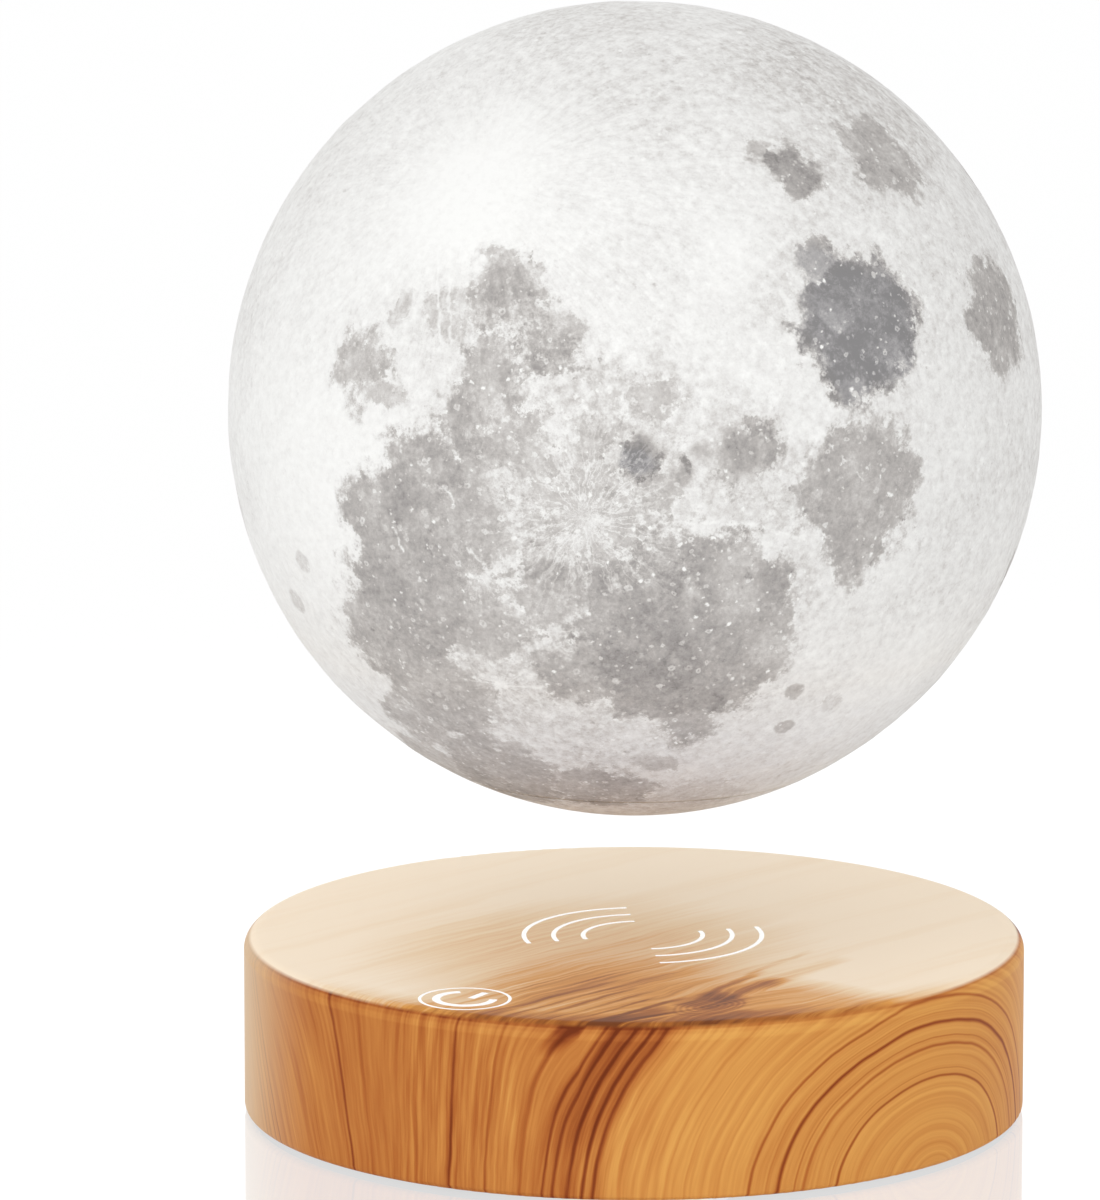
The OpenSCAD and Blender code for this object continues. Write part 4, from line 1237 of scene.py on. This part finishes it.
PLAIN_FINISHES = {
    "cover_plastic": ("moulded_black_abs", "#1B1B1D", "#2A2A2C", Grain.PITTED, .35, .02, (.5, .65)),
    "foot_rubber": ("moulded_rubber", "#191919", "#262626", Grain.CLOUDY, .5, .02, (.75, .9)),
    "zinc_steel": ("zinc_plated_steel", "#9FA3A6", "#C9CCCE", Grain.CLOUDY, .6, .005, (.25, .42), 1.0),
    "board_laminate": ("glass_epoxy_board", "#0C4A22", "#17683A", Grain.PITTED, 1.2, .01, (.3, .45)),
    "chip_resin": ("moulded_epoxy", "#141416", "#1F1F22", Grain.PITTED, .15, .01, (.55, .7)),
    "socket_nylon": ("moulded_nylon", "#E4DCC6", "#F0EAD8", Grain.CLOUDY, .8, .01, (.4, .55)),
    "can_sleeve": ("shrink_sleeve", "#1C2B4A", "#2A3B60", Grain.CLOUDY, 1.2, .01, (.25, .35)),
    "ferrite": ("pressed_ferrite", "#242426", "#3A3A3C", Grain.PITTED, .25, .02, (.6, .8)),
    "jack_plastic": ("moulded_pbt", "#0E0E0F", "#1C1C1D", Grain.CLOUDY, .5, .01, (.35, .5)),
    "contact_brass": ("gold_flashed_brass", "#C9A14A", "#E6C677", Grain.BRUSHED, .1, .004, (.2, .35), 1.0),
    "bobbin_nylon": ("moulded_nylon_bobbin", "#E3DFD2", "#F1EEE4", Grain.CLOUDY, .9, .01, (.4, .5)),
    "enamelled_copper": ("enamelled_copper_wire", "#7A3415", "#C2683A", Grain.WOUND, .3, .06,
                    (.22, .35), 1.0),
    "core_iron": ("turned_iron", "#6B6A68", "#8E8D8A", Grain.BRUSHED, .2, .01, (.35, .5), 1.0),
    "magnet_nickel": ("nickel_plating", "#B9B8B4", "#D6D5D0", Grain.CLOUDY, .8, .004, (.12, .22), 1.0),
    "tray_plastic": ("moulded_grey_abs", "#2B2E31", "#3C4043", Grain.PITTED, .4, .02, (.5, .6)),
    "carrier_plastic": ("moulded_polycarbonate", "#C4C4C0", "#D6D6D2", Grain.CLOUDY, 1.0, .01, (.3, .45)),
    "lead_insulation": ("extruded_pvc", "#A81410", "#C8241C", Grain.CLOUDY, .5, .005, (.35, .45)),
    "led_laminate": ("white_solder_mask", "#E4E4E0", "#F2F2EF", Grain.CLOUDY, 1.0, .01, (.25, .4)),
    "led_phosphor": ("silicone_with_phosphor", "#E0B93A", "#F2D563", Grain.CLOUDY, .4, .01, (.3, .4)),
}


@dataclass
class CadPieces:
    """The pieces that keep their own mesh and get a finish."""

    def dress(self) -> None:
        """Give each node the finish of its slot."""
        made = {slot: PlainFinish(*row).build() for slot, row in PLAIN_FINISHES.items()}
        made["wood_film"] = WoodFilm("wood_grain_film_under_lacquer").build()
        made["cap_plastic"] = MoonPrint("printed_cap_with_map", Moon().middle).build()
        made["moon_print"] = made["cap_plastic"]
        for part in frame["record"]["subparts"]:
            node = frame["nodes"][part["node"]]
            material = made[part["material_slot"]]
            for index in range(len(node.material_slots)):
                node.material_slots[index].material = material
            if not node.material_slots:
                node.data.materials.append(material)


@dataclass
class Studio:
    """The floor, the lamps, the white surround and the camera.

    Attributes:
        distance: How far the camera is from the lamp's axis.
        turn: The camera's angle to the right of the touch key, in degrees.
        height: The camera's height.
        yaw: How far it looks past the axis, in radians.
        pitch: How far it looks down, in radians.
        lens_mm: Its focal length.
    """

    distance: float = 2.0
    turn: float = 32.0
    height: float = 0.5108
    yaw: float = -0.0078
    pitch: float = 0.2043
    lens_mm: float = 331.65

    def camera(self) -> None:
        """Set up the camera at the photograph's viewing angle."""
        data = bpy.data.cameras.new("camera")
        data.lens = self.lens_mm
        data.sensor_width = 36.0
        data.sensor_fit = "AUTO"
        data.clip_end = 50.0
        made = bpy.data.objects.new("camera", data)
        bpy.context.scene.collection.objects.link(made)
        level = math.cos(self.pitch)
        forward = Vector((math.sin(self.yaw) * level, math.cos(self.yaw) * level, -math.sin(self.pitch)))
        right = Vector((math.cos(self.yaw), -math.sin(self.yaw), 0))
        up = right.cross(forward)
        axes = Matrix((right, up, -forward)).transposed().to_4x4()
        spot = Matrix.Translation((0, -self.distance, self.height))
        made.matrix_world = Matrix.Rotation(math.radians(self.turn), 4, "Z") @ spot @ axes
        bpy.context.scene.camera = made

    def lamp(self, name: str, place: Point, aim: Point, size: float, power: float) -> None:
        """Set up one square soft lamp.

        Args:
            name: Its name.
            place: Where it hangs, with -Y towards the camera.
            aim: What it points at.
            size: The length of its side.
            power: Its power in watts.
        """
        data = bpy.data.lights.new(name, "AREA")
        data.shape = "SQUARE"
        data.size = size
        data.energy = power
        made = bpy.data.objects.new(name, data)
        bpy.context.scene.collection.objects.link(made)
        turned = Matrix.Rotation(math.radians(self.turn), 4, "Z")
        spot, target = turned @ Vector(place), turned @ Vector(aim)
        made.location = spot
        made.rotation_euler = (target - spot).to_track_quat("-Z", "Y").to_euler()

    def surround(self) -> None:
        """Set up the white surround: white to the eye and in gloss, softer as a light."""
        world = bpy.data.worlds.new("studio")
        bpy.context.scene.world = world
        world.use_nodes = True
        tree = world.node_tree
        tree.nodes.clear()
        level = add(tree, "MapRange", seen(tree), 0, 1, 0.78, 1.0)
        back = add(tree, "Background", {"Color": linear("#FFFFFF"), "Strength": level})
        add(tree, "OutputWorld", {"Surface": back})

    def floor(self) -> None:
        """Lay the floor."""
        half = 12.0
        corners = [Vector((x, y, 0)) for x, y in ((-half, -half), (half, -half), (half, half), (-half, half))]
        made = piece("floor", corners, [(0, 1, 2, 3)], smooth=False)
        made.data.materials.append(FloorLacquer("white_gloss_lacquer").build())

    def dress(self) -> None:
        """Set up the whole studio."""
        bpy.context.scene.view_settings.view_transform = "Standard"
        self.camera()
        self.surround()
        self.floor()
        self.lamp("key", (-0.9, -1.1, 1.4), (0, 0, 0.1), 1.2, 5)
        self.lamp("fill", (1.0, -0.7, 0.9), (0, 0, 0.1), 1.2, 1.5)
        self.lamp("back", (-0.3, 1.3, 0.8), (0, 0, 0.03), 1.2, 1.8)
        self.lamp("low", (-0.15, -1.1, 0.06), (0, 0, 0.12), 0.8, 2.2)
        log.info("studio ready")


def main() -> None:
    """Build the lamp in order."""
    logging.basicConfig(level=logging.INFO)
    Studio().dress()
    CadPieces().dress()
    TopMarks().dress()
    Moon().dress()
    bpy.context.view_layer.update()


if __name__ == "__main__":
    main()
